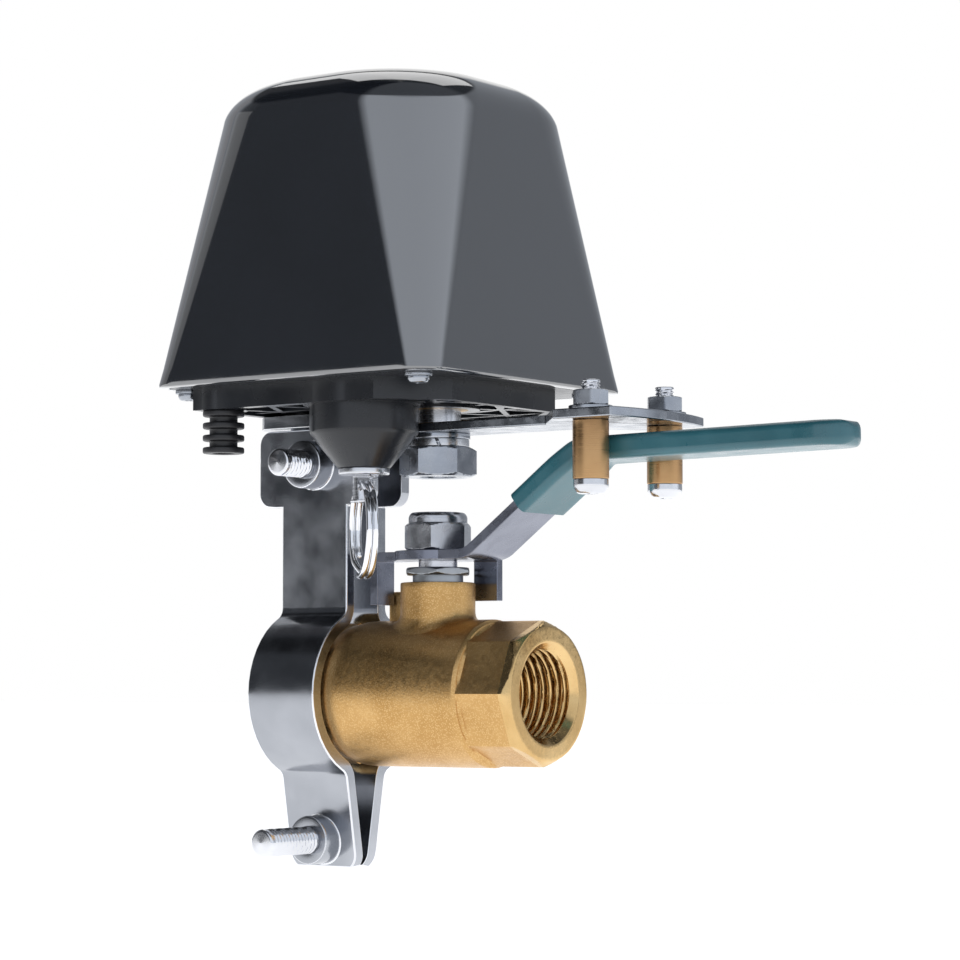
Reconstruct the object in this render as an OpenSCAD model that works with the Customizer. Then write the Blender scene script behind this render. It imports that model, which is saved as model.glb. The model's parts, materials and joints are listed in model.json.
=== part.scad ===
// Motorized valve actuator clamped to a brass ball valve.
// The origin is the centre of the ball, where the pipe axis crosses the stem axis.
// +X runs along the pipe towards the outlet, +Z runs up the stem.

/* [Cover] */
// Distance of the head's middle from the stem, along the pipe
head_x = -12.7; // [-14:0.1:-12]
// Half width of the cover at its rim
cover_half = 37.2; // [36.5:0.1:46]
// How much each side leans in between rim and shoulder
cover_lean = 5.4; // [4:0.1:6]
// Corner radius at the rim
rim_corner = 6; // [5:0.5:9]
// Corner radius at the shoulder
shoulder_corner = 20; // [14:0.5:21]
// Height from the rim to the shoulder
cover_side_h = 57; // [54:0.5:72]
// Radius of the shoulder's bend
shoulder_r = 9; // [6:0.5:10]
// Rise of the crown in the middle of the top
crown_rise = 2.4; // [1.6:0.1:3.6]
// Wall of the cover
cover_wall = 3.4; // [3:0.1:4]
// Wall of the cover beside the seal
rim_wall = 2.4; // [2:0.1:2.8]
// Depth of the rim below the seal's ledge
rim_depth = 3.7; // [3.7:0.1:4.5]

/* [Base] */
// Height of the base's underside above the pipe axis
base_z = 60.5; // [58:0.1:72]
// Half width of the skirt under the base
skirt_half = 30.25; // [29:0.05:31]
// Height of the skirt
skirt_h = 4.6; // [4:0.1:6]
// Leg of the cut corners of the skirt
skirt_cut = 11.6; // [9:0.1:13]
// Wall of the skirt
skirt_wall = 2.2; // [1.6:0.1:3]
// Thickness of the ribs under the base
rib_t = 1.3; // [1:0.1:2]
// Thickness of the base's floor
floor_t = 2.5; // [2:0.1:4]
// Radius of the cover screws
cover_screw_r = 1.4; // [1.2:0.1:1.6]

/* [Clutch] */
// Travel of the pull pin
clutch_travel = 5.5; // [5.2:0.1:6.5]
// Radius of the clutch housing
cone_r = 11.5; // [11:0.1:11.7]
// Radius of the housing's lower end
cone_end_r = 5.5; // [5.2:0.1:7]
// Height of the straight part of the housing
cone_straight_h = 6; // [4:0.1:6.5]
// Height of the tapered part of the housing
cone_taper_h = 7.3; // [7:0.1:10]
// Radius of the pull pin
pin_r = 2; // [1.6:0.05:2.2]
// Outside radius of the pull ring
ring_r = 10.4; // [9:0.1:11.5]
// Radius of the pull ring's wire
ring_wire_r = 0.7; // [0.5:0.05:0.75]
// Direction that the pull ring's plane faces along, in degrees
ring_turn = -41; // [-60:1:0]

/* [Gears] */
// Module of the output pair
out_module = 0.8; // [0.8:0.01:0.82]
// Module of the fast pairs
fast_module = 0.6; // [0.55:0.01:0.62]
// Teeth of the output gear
out_teeth = 36; // [36:1:36]
// Teeth of every pinion
pinion_teeth = 12; // [12:1:12]
// Teeth of the clutch gear's wheel
clutch_teeth = 40; // [40:1:40]
// Teeth of the idler gear's wheel
idler_teeth = 36; // [36:1:36]
// Pressure angle of all teeth
pressure_angle = 25; // [20:1:25]
// Play taken off each tooth
tooth_play = 0.1; // [0.06:0.01:0.16]

/* [Drive arm] */
// Thickness of the arm plate
arm_t = 2; // [1.5:0.1:2.5]
// Gap between the arm and the base
arm_gap = 3.2; // [2.5:0.1:4]
// Half width of the arm's bar
arm_half = 7.1; // [6:0.1:7.2]
// Radius of the arm's far end
arm_reach = 58.5; // [57:0.5:64]
// Half width of the arm's far end
fan_half = 17.6; // [16:0.1:20]
// Distance of the near sleeve along the lever
near_sleeve_x = 46.8; // [46:0.1:50]
// Distance of the far sleeve along the lever
far_sleeve_x = 50.2; // [46:0.1:50.5]
// Distance of both sleeves from the lever's middle
sleeve_y = 11.2; // [11:0.1:12]
// Outside radius of the sleeves
sleeve_r = 3.7; // [3:0.05:3.8]
// Height of the sleeves
sleeve_h = 12; // [9:0.1:12.5]
// Radius of the output shaft at the arm
shaft_r = 4.9; // [4:0.1:5]
// Across-flats size of the output nut
arm_nut_af = 14.4; // [13:0.1:15]
// Height of the output nut
arm_nut_h = 6.3; // [5:0.1:6.5]

/* [Bracket] */
// Thickness of the bracket plates
plate_t = 2.8; // [2:0.1:3]
// Width of the clamp strips
strip_w = 18; // [15:0.1:19]
// Distance of the clamp's middle from the stem
clamp_x = 28.4; // [27.9:0.1:31]
// Width of the wide head of each plate
head_w = 31; // [26:0.1:31]
// Half gap between the straight plates
jaw_gap = 4; // [3.5:0.1:4.5]
// Inside radius of the clamp around the valve
clamp_r = 15.5; // [15.5:0.1:18]
// Radius of the clamp bolts
bolt_r = 2.95; // [2.4:0.05:2.95]

/* [Valve] */
// Radius of the valve's barrel
barrel_r = 15.6; // [15.6:0.1:16.2]
// Half length of the valve between its port faces
port_x = 28.8; // [28.8:0.1:34]
// Corner radius of the octagon ends
octagon_r = 15.3; // [14.6:0.1:15.4]
// Minor radius of the port threads
thread_r = 9.315; // [9:0.005:9.5]
// Length of the port threads
thread_l = 13; // [11:0.1:13]
// Radius of the ball
ball_r = 10; // [9:0.1:10]
// Radius of the waterway
waterway_r = 6; // [5:0.1:6.3]
// Radius of the neck
neck_r = 8; // [7.5:0.1:8]
// Height of the neck's top above the pipe axis
neck_top = 23.6; // [22:0.1:25]
// Radius of the stem
stem_r = 4.15; // [3.8:0.05:4.15]

/* [Lever] */
// Thickness of the lever's steel
lever_t = 2; // [1.5:0.1:2.2]
// Height of the handle above the lever's plate
lever_rise = 20.7; // [18:0.1:20.9]
// Distance of the handle's end from the stem
lever_reach = 101.5; // [80:0.5:120]
// Half width of the lever at its ramp
lever_half = 7.4; // [6.5:0.1:7.4]
// Thickness of the grip's wall
grip_wall = 1.5; // [1:0.1:1.6]
// Half width of the grip on the handle
grip_half = 6.9; // [6:0.05:7]
// Across-flats size of the lever's lock nut
lever_nut_af = 13; // [12:0.1:13.5]

/* [Clearances] */
// Radial clearance of a running fit
run_gap = 0.05; // [0.02:0.01:0.09]
// Side clearance between pieces that slot together
slot_gap = 0.15; // [0.1:0.01:0.3]
// Clearance between pieces that must not touch
free_gap = 0.3; // [0.3:0.05:0.5]

/* [Hidden] */
$fn = 64;
// Height of a limit that always reaches past the whole object
far = 300;
// How far a cut reaches past a face, and the length of a cut through a whole piece
over = 1;
through = 60;

// Heights of the head, from the base upwards
cover_z = base_z + skirt_h;
floor_z = cover_z + floor_t;
ledge_z = cover_z + rim_depth;
seal_h = ledge_z - floor_z;
out_gear_z = floor_z + 3.4;
out_gear_t = 5;
wheel_t = 2.5;
wheel_z = out_gear_z + out_gear_t + clutch_travel + 1;
idler_pinion_z = wheel_z - clutch_travel;
idler_wheel_z = wheel_z + wheel_t + 0.8;
plate_z = idler_wheel_z + wheel_t + 0.7;
gear_plate_t = 2;
deck_z = plate_z + gear_plate_t;

// Places of the gears
out_distance = out_module * (out_teeth + pinion_teeth) / 2;
clutch_dir = 252.5;
clutch_p = out_distance * [cos(clutch_dir), sin(clutch_dir)];
idler_distance = fast_module * (clutch_teeth + pinion_teeth) / 2;
idler_dir = 170;
idler_p = clutch_p + idler_distance * [cos(idler_dir), sin(idler_dir)];
drive_distance = fast_module * (idler_teeth + pinion_teeth) / 2;
drive_dir = 60;
drive_p = idler_p + drive_distance * [cos(drive_dir), sin(drive_dir)];

// The clutch, from its housing downwards
cone_mid_z = base_z - cone_straight_h;
cone_end_z = cone_mid_z - cone_taper_h;
bush_flange_t = 1.4;
bush_flange_r = 5.4;
bush_r = 3.5;
spring_well_r = 6.9;
spring_r = 4.5;
spring_wire_r = 0.35;
spring_turns = 7;
clip_t = 0.7;
clip_r = 3.4;
seat_clip_r = 5.2;
clip_play = 0.3;
gear_bottom_clip_z = out_gear_z - clip_play - clip_t;
eye_r = 2.4;
eye_gap = 0.2;
eye_z = cone_end_z - bush_flange_t - eye_gap;
ring_pivot_z = eye_z - 1.6;
ring_mean_r = ring_r - ring_wire_r;
ring_pair = ring_wire_r - 0.04;
eye_slot_w = 2 * (ring_pair + ring_wire_r + free_gap);
eye_slot_h = 3;
eye_drop = 3.4;
eye_lip = 0.5;
eye_lip_h = 0.6;
pin_top_z = deck_z + clutch_travel - 0.5;

// The arm and what hangs on it
arm_z = base_z - arm_gap - arm_t;
shaft_thread_r = shaft_r - 0.9;
flat_washer_t = 1.2;
flat_washer_r = 6.9;
lock_washer_t = 1.7;
lock_washer_r = 6.7;
arm_nut_z = arm_z - flat_washer_t - lock_washer_t - arm_nut_h;
arm_nut_turn = -24;
screw_r = 1.95;
sleeve_bore_r = 2.1;
sleeve_washer_r = 4.5;
sleeve_washer_t = 0.9;
sleeve_nut_af = 7;
sleeve_nut_h = 3.2;
sleeve_z = arm_z - sleeve_h;
sleeve_places = [[near_sleeve_x, -sleeve_y], [far_sleeve_x, sleeve_y]];

// The cover
cover_screw_places = [[cover_half - 7, cover_half - 7], [cover_half - 7, 7 - cover_half],
    [3.4 - cover_half, 27.5], [3.4 - cover_half, -27.5]];
boss_r = 3.4;
boss_h = 14;
lean_angle = atan(cover_lean / cover_side_h);
panel_z = cover_z + cover_side_h - 6.3;
panel_x = head_x - cover_half + cover_lean * (panel_z - cover_z) / cover_side_h;
panel_w = 31;
panel_h = 14;
panel_depth = 0.9;
button_y = -10.5;
button_r = 3;
button_proud = 0.3;
button_lip = 0.6;
button_lip_t = 0.5;
lens_y = 4;
lens_w = 16;
lens_h = 7;
board_room = 7.2;
board_x = panel_x + board_room;
board_t = 1.6;
board_h = 30;
board_w = 40;

// Bracket heights and places
flange_top_z = base_z;
flange_z = flange_top_z - plate_t;
flange_y = -9;
wide_head_z = 40.6;
jaw_top_z = flange_z - free_gap;
upper_bolt_z = 49.5;
lower_bolt_z = -31.5;
upper_tip_y = -19.6;
lower_tip_y = -24.4;
bolt_play = 0.25;
bolt_tip_h = 0.6;
bolt_head_af = 10;
bolt_head_h = 4;
leg_end_z = -37.2;
bend_r = 4;
bracket_screw_x = [-clamp_x - 8, -clamp_x + 9];

// Valve heights and places
barrel_end_x = 16;
adapter_x = -21;
chamber_r = ball_r + 0.6;
seat_x = ball_r * 0.72;
seat_end_x = ball_r + 1.2;
spigot_r = 12;
passage_r = waterway_r + 0.5;
gland_r = 5.4;
gland_flange_t = 1.5;
gland_hex_t = 1.7;
gland_hex_af = 13.2;
stem_shoulder_z = neck_top + gland_flange_t + gland_hex_t + 1.5;
lever_z = stem_shoulder_z;
lever_nut_z = lever_z + lever_t;
lever_nut_h = 5.9;
lever_nut_collar_h = 2.3;
collar_ring_r = 6.3;
collar_edge = 0.6;
thread_top_r = 3.9;
flat_half = 3.1;
tail_x = 16;
tab_t = 2;
tail_half = 3;
tail_tab_z = 19;
side_tab_z = 19.8;
side_tab_x = [3.4, 9.6];
side_tab_y = neck_r + free_gap;

// ---- shared shapes ----

module rounded_square(half, r) {
    offset(r = r, $fn = 48) square(2 * (half - r), center = true);
}

arc_steps = 16;
function polar(r, a) = [r * cos(a), r * sin(a)];
function unit(v) = v / norm(v);
function turn_of(a, b, c) =
    let (u = unit(b - a), v = unit(c - b)) acos(min(1, max(-1, u * v)));
function side_of(a, b, c) =
    let (u = b - a, v = c - b) sign(u[0] * v[1] - u[1] * v[0]);
function left_of(a, b) = [a[1] - b[1], b[0] - a[0]] / norm(b - a);

// The arc that rounds corner b with middle radius r, moved d to the left of the line
function corner_arc(a, b, c, r, d) =
    let (turn = turn_of(a, b, c), s = side_of(a, b, c),
        start = b - unit(b - a) * r * tan(turn / 2),
        centre = start + s * r * left_of(a, b),
        out = start - centre, a0 = atan2(out[1], out[0]))
    [for (k = [0 : arc_steps]) centre + polar(r - s * d, a0 + s * turn * k / arc_steps)];
function side_line(pts, radii, d) =
    let (n = len(pts))
    concat([pts[0] + d * left_of(pts[0], pts[1])],
        [for (i = [1 : 1 : n - 2])
            each corner_arc(pts[i - 1], pts[i], pts[i + 1], radii[i - 1], d)],
        [pts[n - 1] + d * left_of(pts[n - 2], pts[n - 1])]);
function reversed(list) = [for (i = [len(list) - 1 : -1 : 0]) list[i]];

// A bent sheet seen from its edge, with one middle radius for each corner of its line
module bent_sheet(pts, radii, t) {
    polygon(concat(side_line(pts, radii, t / 2), reversed(side_line(pts, radii, -t / 2))));
}

module slot_2d(length, w) {
    square([length - w, w], center = true);
    for (s = [-1, 1]) translate([s * (length - w) / 2, 0]) circle(d = w);
}

module ring(r_out, r_in, h) {
    linear_extrude(h) difference() {
        circle(r = r_out);
        circle(r = r_in);
    }
}

// A screw head below height 0, its lower rim turned to a cone
module pan_head(r, h) {
    translate([0, 0, -h]) cylinder(r1 = r * 0.7, r2 = r, h = h * 0.45);
    translate([0, 0, -h * 0.55]) cylinder(r = r, h = h * 0.55);
}

// A six-sided nut or bolt head with both rims turned down to a cone.
module hex_block(af, h) {
    corner = af / sqrt(3);
    cut = (corner - af / 2) * 0.6;
    intersection() {
        cylinder(r = corner, h = h, $fn = 6);
        rotate_extrude() polygon([[0, 0], [af / 2, 0], [corner, cut], [corner, h - cut],
            [af / 2, h], [0, h]]);
    }
}

function involute(a) = tan(a) * 180 / PI - a;
function base_r(m, z) = m * z / 2 * cos(pressure_angle);
function tooth_half(m, z, r) =
    let (rb = base_r(m, z), a = r > rb ? acos(rb / r) : 0)
    90 / z + involute(pressure_angle) - involute(a) - tooth_play / (m * z) * 180 / PI;
function flank(m, z) =
    let (tip = m * (z / 2 + 1), start = max(base_r(m, z), m * (z / 2 - 1.25)))
    [for (k = [0 : 5]) start + (tip - start) * k / 5];
function tooth(m, z, at) =
    let (root = m * (z / 2 - 1.25), rs = flank(m, z), h0 = tooth_half(m, z, rs[0]))
    concat([polar(root, at - h0)],
        [for (r = rs) polar(r, at - tooth_half(m, z, r))],
        [for (k = [5 : -1 : 0]) polar(rs[k], at + tooth_half(m, z, rs[k]))],
        [polar(root, at + h0)]);

module gear(m, z, h, phase) {
    linear_extrude(h) polygon([for (i = [0 : z - 1]) each tooth(m, z, phase + 360 * i / z)]);
}

// The turn that puts a second gear in mesh with a first one lying in direction dir from it.
function mesh_phase(phase, z1, z2, dir) =
    dir + 180 - (0.5 - (dir - phase) * z1 / 360) * 360 / z2;
out_phase = 0;
clutch_phase = mesh_phase(out_phase, out_teeth, pinion_teeth, clutch_dir);
clutch_wheel_phase = 0;
idler_phase = mesh_phase(clutch_wheel_phase, clutch_teeth, pinion_teeth, idler_dir);
idler_wheel_phase = 0;
drive_phase = mesh_phase(idler_wheel_phase, idler_teeth, pinion_teeth, drive_dir);

module at_head() { translate([head_x, 0, 0]) children(); }
module at(p) { translate([p[0], p[1], 0]) children(); }

// ---- head: cover and base ----

shoulder_z = cover_z + cover_side_h;
shoulder_half = cover_half - cover_lean;
// Thickness of the slices that the dome is spanned from
skin = 0.01;
shoulder_ease = 0.8;
// Each step of the crown as [share of its radius, share of its rise]
crown_levels = [[0.82, 0.3], [0.53, 0.75], [0.18, 1]];
// Sizes of the cover screws, their washers and their cross recess
cover_washer_t = 0.7;
cover_washer_r = 2.9;
cover_screw_l = 9;
cover_head_r = 2.3;
cover_head_h = 1.4;
cross_w = 0.5;
seal_w = 2.2;

// The cover's outer solid, shrunk by a wall when it makes the hollow.
module dome(wall, bottom_z) {
    lean_in = cover_lean * (bottom_z - cover_z) / cover_side_h;
    hull() {
        translate([0, 0, bottom_z]) linear_extrude(skin)
            rounded_square(cover_half - lean_in - wall, max(rim_corner - wall, 1));
        translate([0, 0, shoulder_z - wall]) linear_extrude(skin)
            rounded_square(shoulder_half - wall, shoulder_corner - wall);
        for (a = [15 : 15 : 75])
            translate([0, 0, shoulder_z - wall + shoulder_r * sin(a)]) linear_extrude(skin)
                rounded_square(shoulder_half - wall - shoulder_r * (1 - cos(a)) - shoulder_ease * sin(a),
                    shoulder_corner - wall);
        for (level = crown_levels)
            translate([0, 0, shoulder_z - wall + shoulder_r + crown_rise * level[1] - skin])
                linear_extrude(skin) circle(r = level[0] * (shoulder_half - wall - shoulder_r));
    }
}

module panel_place() {
    translate([panel_x, 0, panel_z]) rotate([0, lean_angle, 0]) children();
}

module cover() color("#17191d") difference() {
    at_head() union() {
        difference() {
            dome(0, cover_z);
            dome(cover_wall, ledge_z);
            translate([0, 0, cover_z - 1]) linear_extrude(rim_depth + 1)
                rounded_square(cover_half - rim_wall, rim_corner - rim_wall);
        }
        intersection() {
            dome(0, cover_z);
            translate([0, 0, floor_z]) linear_extrude(boss_h) boss_footprints(0);
        }
    }
    at_head() for (p = cover_screw_places)
        translate([p[0], p[1], cover_z - 1]) cylinder(r = cover_screw_r, h = boss_h);
    panel_place() translate([-2 * panel_depth, -panel_w / 2, -panel_h / 2])
        cube([3 * panel_depth, panel_w, panel_h]);
    translate([panel_x - 4, button_y, panel_z]) rotate([0, 90, 0])
        cylinder(r = button_r + free_gap, h = 12);
    panel_place() translate([-1, lens_y - lens_w / 2, -lens_h / 2])
        cube([8, lens_w, lens_h]);
}

module boss_footprints(room) {
    for (p = cover_screw_places)
        translate([p[0] + sign(p[0]) * boss_r / 2, p[1] + sign(p[1]) * boss_r / 2])
            square(3 * boss_r + 2 * room, center = true);
}

module flange_outline() {
    difference() {
        rounded_square(cover_half - rim_wall - slot_gap, rim_corner - rim_wall - slot_gap);
        for (p = cover_screw_places) if (p[0] < 0)
            translate([p[0], p[1]]) {
                circle(r = cover_screw_r + free_gap);
                translate([-5, -cover_screw_r - free_gap])
                    square([5, 2 * (cover_screw_r + free_gap)]);
            }
    }
}

module cover_seal() color("#3a3d40") at_head() translate([0, 0, floor_z])
    linear_extrude(seal_h) difference() {
        rounded_square(cover_half - rim_wall, rim_corner - rim_wall);
        rounded_square(cover_half - rim_wall - seal_w, rim_corner - rim_wall);
        boss_footprints(free_gap);
    }

module cover_washers() color("#c9ccd1") at_head() for (p = cover_screw_places)
    translate([p[0], p[1], cover_z - cover_washer_t])
        ring(cover_washer_r, cover_screw_r + 0.1, cover_washer_t);

module cover_screws() color("#c9ccd1") at_head() for (p = cover_screw_places)
    translate([p[0], p[1], cover_z - cover_washer_t]) difference() {
        union() {
            cylinder(r = cover_screw_r, h = cover_screw_l);
            pan_head(cover_head_r, cover_head_h);
        }
        for (a = [0, 90]) rotate(a) translate([-cover_head_r / 2, -cross_w / 2, -cover_head_h - 0.1])
            cube([cover_head_r, cross_w, cover_head_h * 0.65]);
    }

module skirt_outline(inset) {
    h = skirt_half - inset;
    c = skirt_cut - inset * (2 - sqrt(2));
    polygon([[-h, -h], [h - c, -h], [h, c - h], [h, h - c], [h - c, h], [-h, h]]);
}

gland_p = [-38.3 - head_x, -25.6];
pad_r = 5.6;
out_boss_r = 9;
bush_out_r = shaft_r + 1.6;

module base_ribs() intersection() {
    skirt_outline(0);
    union() {
        for (a = [-60, 0, 60]) rotate(a) for (y = [-48 : 12 : 48])
            translate([-60, y - rib_t / 2]) square([120, rib_t]);
        at(-[head_x, 0]) difference() {
            circle(r = out_boss_r + 5.2);
            circle(r = out_boss_r + 5.2 - rib_t);
        }
    }
}

module base_plate() color("#202226") difference() {
    union() {
        at_head() translate([0, 0, cover_z]) linear_extrude(floor_t) flange_outline();
        at_head() translate([0, 0, base_z]) linear_extrude(skirt_h) difference() {
            skirt_outline(0);
            skirt_outline(skirt_wall);
        }
        at_head() translate([0, 0, base_z + 0.5]) linear_extrude(skirt_h - 0.5) base_ribs();
        at_head() at(gland_p) translate([0, 0, base_z]) cylinder(r = pad_r - 0.4, h = skirt_h);
        for (x = bracket_screw_x) translate([x, 0, base_z]) cylinder(r = pad_r, h = skirt_h);
        translate([0, 0, base_z]) cylinder(r = out_boss_r, h = skirt_h + floor_t + 1);
        at(clutch_p) translate([0, 0, base_z]) cylinder(r = cone_r + rib_t, h = skirt_h);
    }
    translate([0, 0, base_z - over]) cylinder(r = bush_out_r, h = through);
    at(clutch_p) translate([0, 0, base_z - over]) cylinder(r = cone_r, h = through);
    at_head() for (p = cover_screw_places) if (p[0] > 0)
        translate([p[0], p[1], cover_z - over]) cylinder(r = cover_screw_r + free_gap, h = through);
    for (x = bracket_screw_x) translate([x, 0, base_z - over]) cylinder(r = insert_r, h = through);
    at_head() at(gland_p) translate([0, 0, base_z - over]) cylinder(r = gland_core_r, h = through);
    at(idler_p) translate([0, 0, cover_z - over]) cylinder(r = axle_r, h = through);
}

// The pocket under the clutch gear: a cup pressed into the base, tapered to the pull pin's bush
module clutch_housing() color("#202226") at(clutch_p) difference() {
    union() {
        translate([0, 0, cone_mid_z]) cylinder(r = cone_r, h = floor_z - cone_mid_z);
        translate([0, 0, cone_end_z]) cylinder(r1 = cone_end_r, r2 = cone_r, h = cone_taper_h);
    }
    translate([0, 0, cone_end_z - over]) cylinder(r = bush_r, h = through);
    translate([0, 0, cone_mid_z]) cylinder(r = spring_well_r, h = through);
}

insert_r = 3;
axle_r = 1.5;
gland_core_r = 3;
gland_rib_r = 4.45;
gland_bore_r = 2.2;
gland_drop = 9.2;
gland_inside_h = 8.5;
gland_rib_pitch = 2.63;
gland_barb = 0.4;
gland_barb_h = 1.4;

module cable_gland() color("#16171a") at_head() at(gland_p) difference() {
    union() {
        translate([0, 0, base_z - gland_drop]) cylinder(r = gland_core_r, h = gland_drop + gland_inside_h);
        for (k = [0 : 3]) translate([0, 0, base_z - gland_drop + k * gland_rib_pitch])
            cylinder(r = gland_rib_r, h = gland_rib_pitch / 2);
        translate([0, 0, floor_z]) cylinder(r = gland_core_r + gland_barb, h = gland_barb_h);
    }
    translate([0, 0, base_z - gland_drop - over]) cylinder(r = gland_bore_r, h = through);
}

module side_button() color("#2b2e33") translate([panel_x, button_y, panel_z]) rotate([0, 90, 0]) {
    translate([0, 0, -button_proud]) cylinder(r = button_r, h = cover_wall + 1 + button_proud);
    translate([0, 0, cover_wall + 1 - 0.1]) cylinder(r = button_r + button_lip, h = button_lip_t);
}

module indicator_lens() color("#88929c") panel_place()
    translate([panel_depth - 0.2, lens_y - lens_w / 2, -lens_h / 2])
        cube([cover_wall - panel_depth + 0.6, lens_w, lens_h]);

module circuit_board() color("#1c5a3a")
    translate([board_x, -board_w / 2, deck_z + 0.4]) cube([board_t, board_w, board_h]);

module board_parts() color("#2c2c30") {
    back_x = board_x + board_t;
    translate([board_x - 1.2, button_y - 3, panel_z - 3]) cube([1.2, 6, 6]);
    for (y = [lens_y - 4, lens_y + 4]) translate([board_x - 2.2, y, panel_z])
        rotate([0, 90, 0]) cylinder(r = 1.5, h = 2.2);
    translate([back_x, -16, deck_z + 5]) cube([5, 10, 14]);
    translate([back_x, -3, deck_z + 6]) cube([1, 7, 7]);
    for (y = [9, 14.5]) translate([back_x, y, deck_z + 22]) rotate([0, 90, 0])
        cylinder(r = 2.4, h = 5.2);
    translate([back_x, 7, deck_z + 3]) cube([5, 11, 7]);
}

module board_brackets() color("#b9bcc2") for (y = [-17, 17])
    translate([0, y - 3, 0]) difference() {
        union() {
            translate([board_x - 1, 0, deck_z]) cube([1, 6, 9]);
            translate([board_x - 1, 0, deck_z]) cube([7, 6, 0.4]);
        }
        translate([board_x - 2, 3, deck_z + 6]) rotate([0, 90, 0]) cylinder(r = 1, h = 3);
    }

// ---- head: drive ----

motor_r = 12;
motor_h = 20;
gearhead_r = 14;
gearhead_h = 14;
drive_shaft_r = 2;
shaft_socket = 7;
shaft_grip = 6;
notch_r = 1.2;
can_end_r = 3.5;
can_end_h = 1.2;

module gearhead() color("#8d9096") at(drive_p) translate([0, 0, deck_z]) difference() {
    cylinder(r = gearhead_r, h = gearhead_h);
    for (a = [45 : 90 : 315]) rotate(a) translate([gearhead_r, 0, -over])
        cylinder(r = notch_r, h = gearhead_h + 2 * over);
    translate([0, 0, -over]) cylinder(r = drive_shaft_r + run_gap, h = shaft_socket + over);
}

module motor_can() color("#a6a9af") at(drive_p) translate([0, 0, deck_z + gearhead_h]) difference() {
    union() {
        cylinder(r = motor_r, h = motor_h);
        translate([0, 0, motor_h]) cylinder(r = can_end_r, h = can_end_h);
        for (y = [-7, 7]) translate([-0.3, y - 1.2, motor_h - 1]) cube([0.6, 2.4, 4]);
    }
    for (a = [0, 180]) rotate(a) translate([motor_r - 1, -3, 4]) cube([2, 6, 2]);
}

module drive_pinion() color("#c9a552") at(drive_p) {
    translate([0, 0, idler_wheel_z]) gear(fast_module, pinion_teeth, wheel_t, drive_phase);
    translate([0, 0, idler_wheel_z]) cylinder(r = drive_shaft_r, h = deck_z + shaft_grip - idler_wheel_z);
}

idler_hub_r = 2.7;

module idler_gear() color("#e6e4dc") at(idler_p) difference() {
    union() {
        translate([0, 0, idler_pinion_z])
            gear(fast_module, pinion_teeth, idler_wheel_z - idler_pinion_z, idler_phase);
        translate([0, 0, idler_wheel_z]) gear(fast_module, idler_teeth, wheel_t, idler_wheel_phase);
        translate([0, 0, floor_z + free_gap])
            cylinder(r = idler_hub_r, h = idler_pinion_z - floor_z - free_gap);
    }
    translate([0, 0, floor_z - over]) cylinder(r = axle_r + run_gap, h = through);
}

module idler_axle() color("#c9ccd1") at(idler_p) translate([0, 0, cover_z])
    cylinder(r = axle_r, h = deck_z - cover_z);

module clutch_gear() color("#d8d6cc") at(clutch_p) difference() {
    union() {
        translate([0, 0, out_gear_z]) gear(out_module, pinion_teeth, out_gear_t, clutch_phase);
        translate([0, 0, out_gear_z + out_gear_t])
            cylinder(r = clip_r, h = wheel_z - out_gear_z - out_gear_t);
        translate([0, 0, wheel_z]) gear(fast_module, clutch_teeth, wheel_t, clutch_wheel_phase);
    }
    translate([0, 0, out_gear_z - over]) cylinder(r = pin_r + run_gap, h = through);
}

module clutch_pin() color("#d4d6da") at(clutch_p) difference() {
    union() {
        translate([0, 0, eye_z]) cylinder(r = pin_r, h = pin_top_z - eye_z);
        translate([0, 0, ring_pivot_z - eye_drop])
            cylinder(r = eye_r, h = eye_z - ring_pivot_z + eye_drop);
        translate([0, 0, ring_pivot_z - eye_drop - eye_lip_h])
            cylinder(r = eye_r + eye_lip, h = eye_lip_h);
    }
    translate([0, 0, ring_pivot_z - 0.1]) rotate(ring_turn)
        cube([4 * eye_r, eye_slot_w, eye_slot_h], center = true);
}

module clutch_clips() color("#8f9298") at(clutch_p) {
    translate([0, 0, gear_bottom_clip_z]) ring(seat_clip_r, pin_r, clip_t);
    translate([0, 0, wheel_z + wheel_t + clip_play]) ring(clip_r, pin_r, clip_t - 0.3);
}

spring_h = gear_bottom_clip_z - cone_mid_z;
spring_steps = spring_turns * 14;
spring_sides = 6;
function coil_point(i, k) =
    let (a = 360 * spring_turns * i / spring_steps, b = 360 * k / spring_sides,
        r = spring_r + spring_wire_r * cos(b),
        lift = spring_wire_r + (spring_h - 2 * spring_wire_r) * i / spring_steps)
    [r * cos(a), r * sin(a), lift + spring_wire_r * sin(b)];

module clutch_spring() color("#b4b7bd") at(clutch_p) translate([0, 0, cone_mid_z]) polyhedron(
    points = [for (i = [0 : spring_steps]) for (k = [0 : spring_sides - 1]) coil_point(i, k)],
    faces = concat([[for (k = [0 : spring_sides - 1]) k]],
        [for (i = [0 : spring_steps - 1]) for (k = [0 : spring_sides - 1])
            let (a = i * spring_sides + k, b = i * spring_sides + (k + 1) % spring_sides)
            each [[a, a + spring_sides, b], [b, a + spring_sides, b + spring_sides]]],
        [[for (k = [spring_sides - 1 : -1 : 0]) spring_steps * spring_sides + k]]));

module clutch_bush() color("#c4c7cc") at(clutch_p) difference() {
    union() {
        translate([0, 0, cone_end_z - bush_flange_t]) cylinder(r = bush_flange_r, h = bush_flange_t);
        translate([0, 0, cone_end_z]) cylinder(r = bush_r, h = cone_taper_h);
    }
    translate([0, 0, cone_end_z - 2 * bush_flange_t]) cylinder(r = pin_r + run_gap, h = through);
}

module pull_ring() color("#dfe1e5") at(clutch_p) translate([0, 0, ring_pivot_z - ring_mean_r])
    rotate(ring_turn) rotate([90, 0, 0]) rotate_extrude($fn = 96)
        for (s = [-1, 1]) translate([ring_mean_r, s * ring_pair]) circle(r = ring_wire_r, $fn = 32);

shaft_top_r = 3;
shaft_gear_r = 4;
out_hub_r = 5.9;
out_hub_h = 4;

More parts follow.
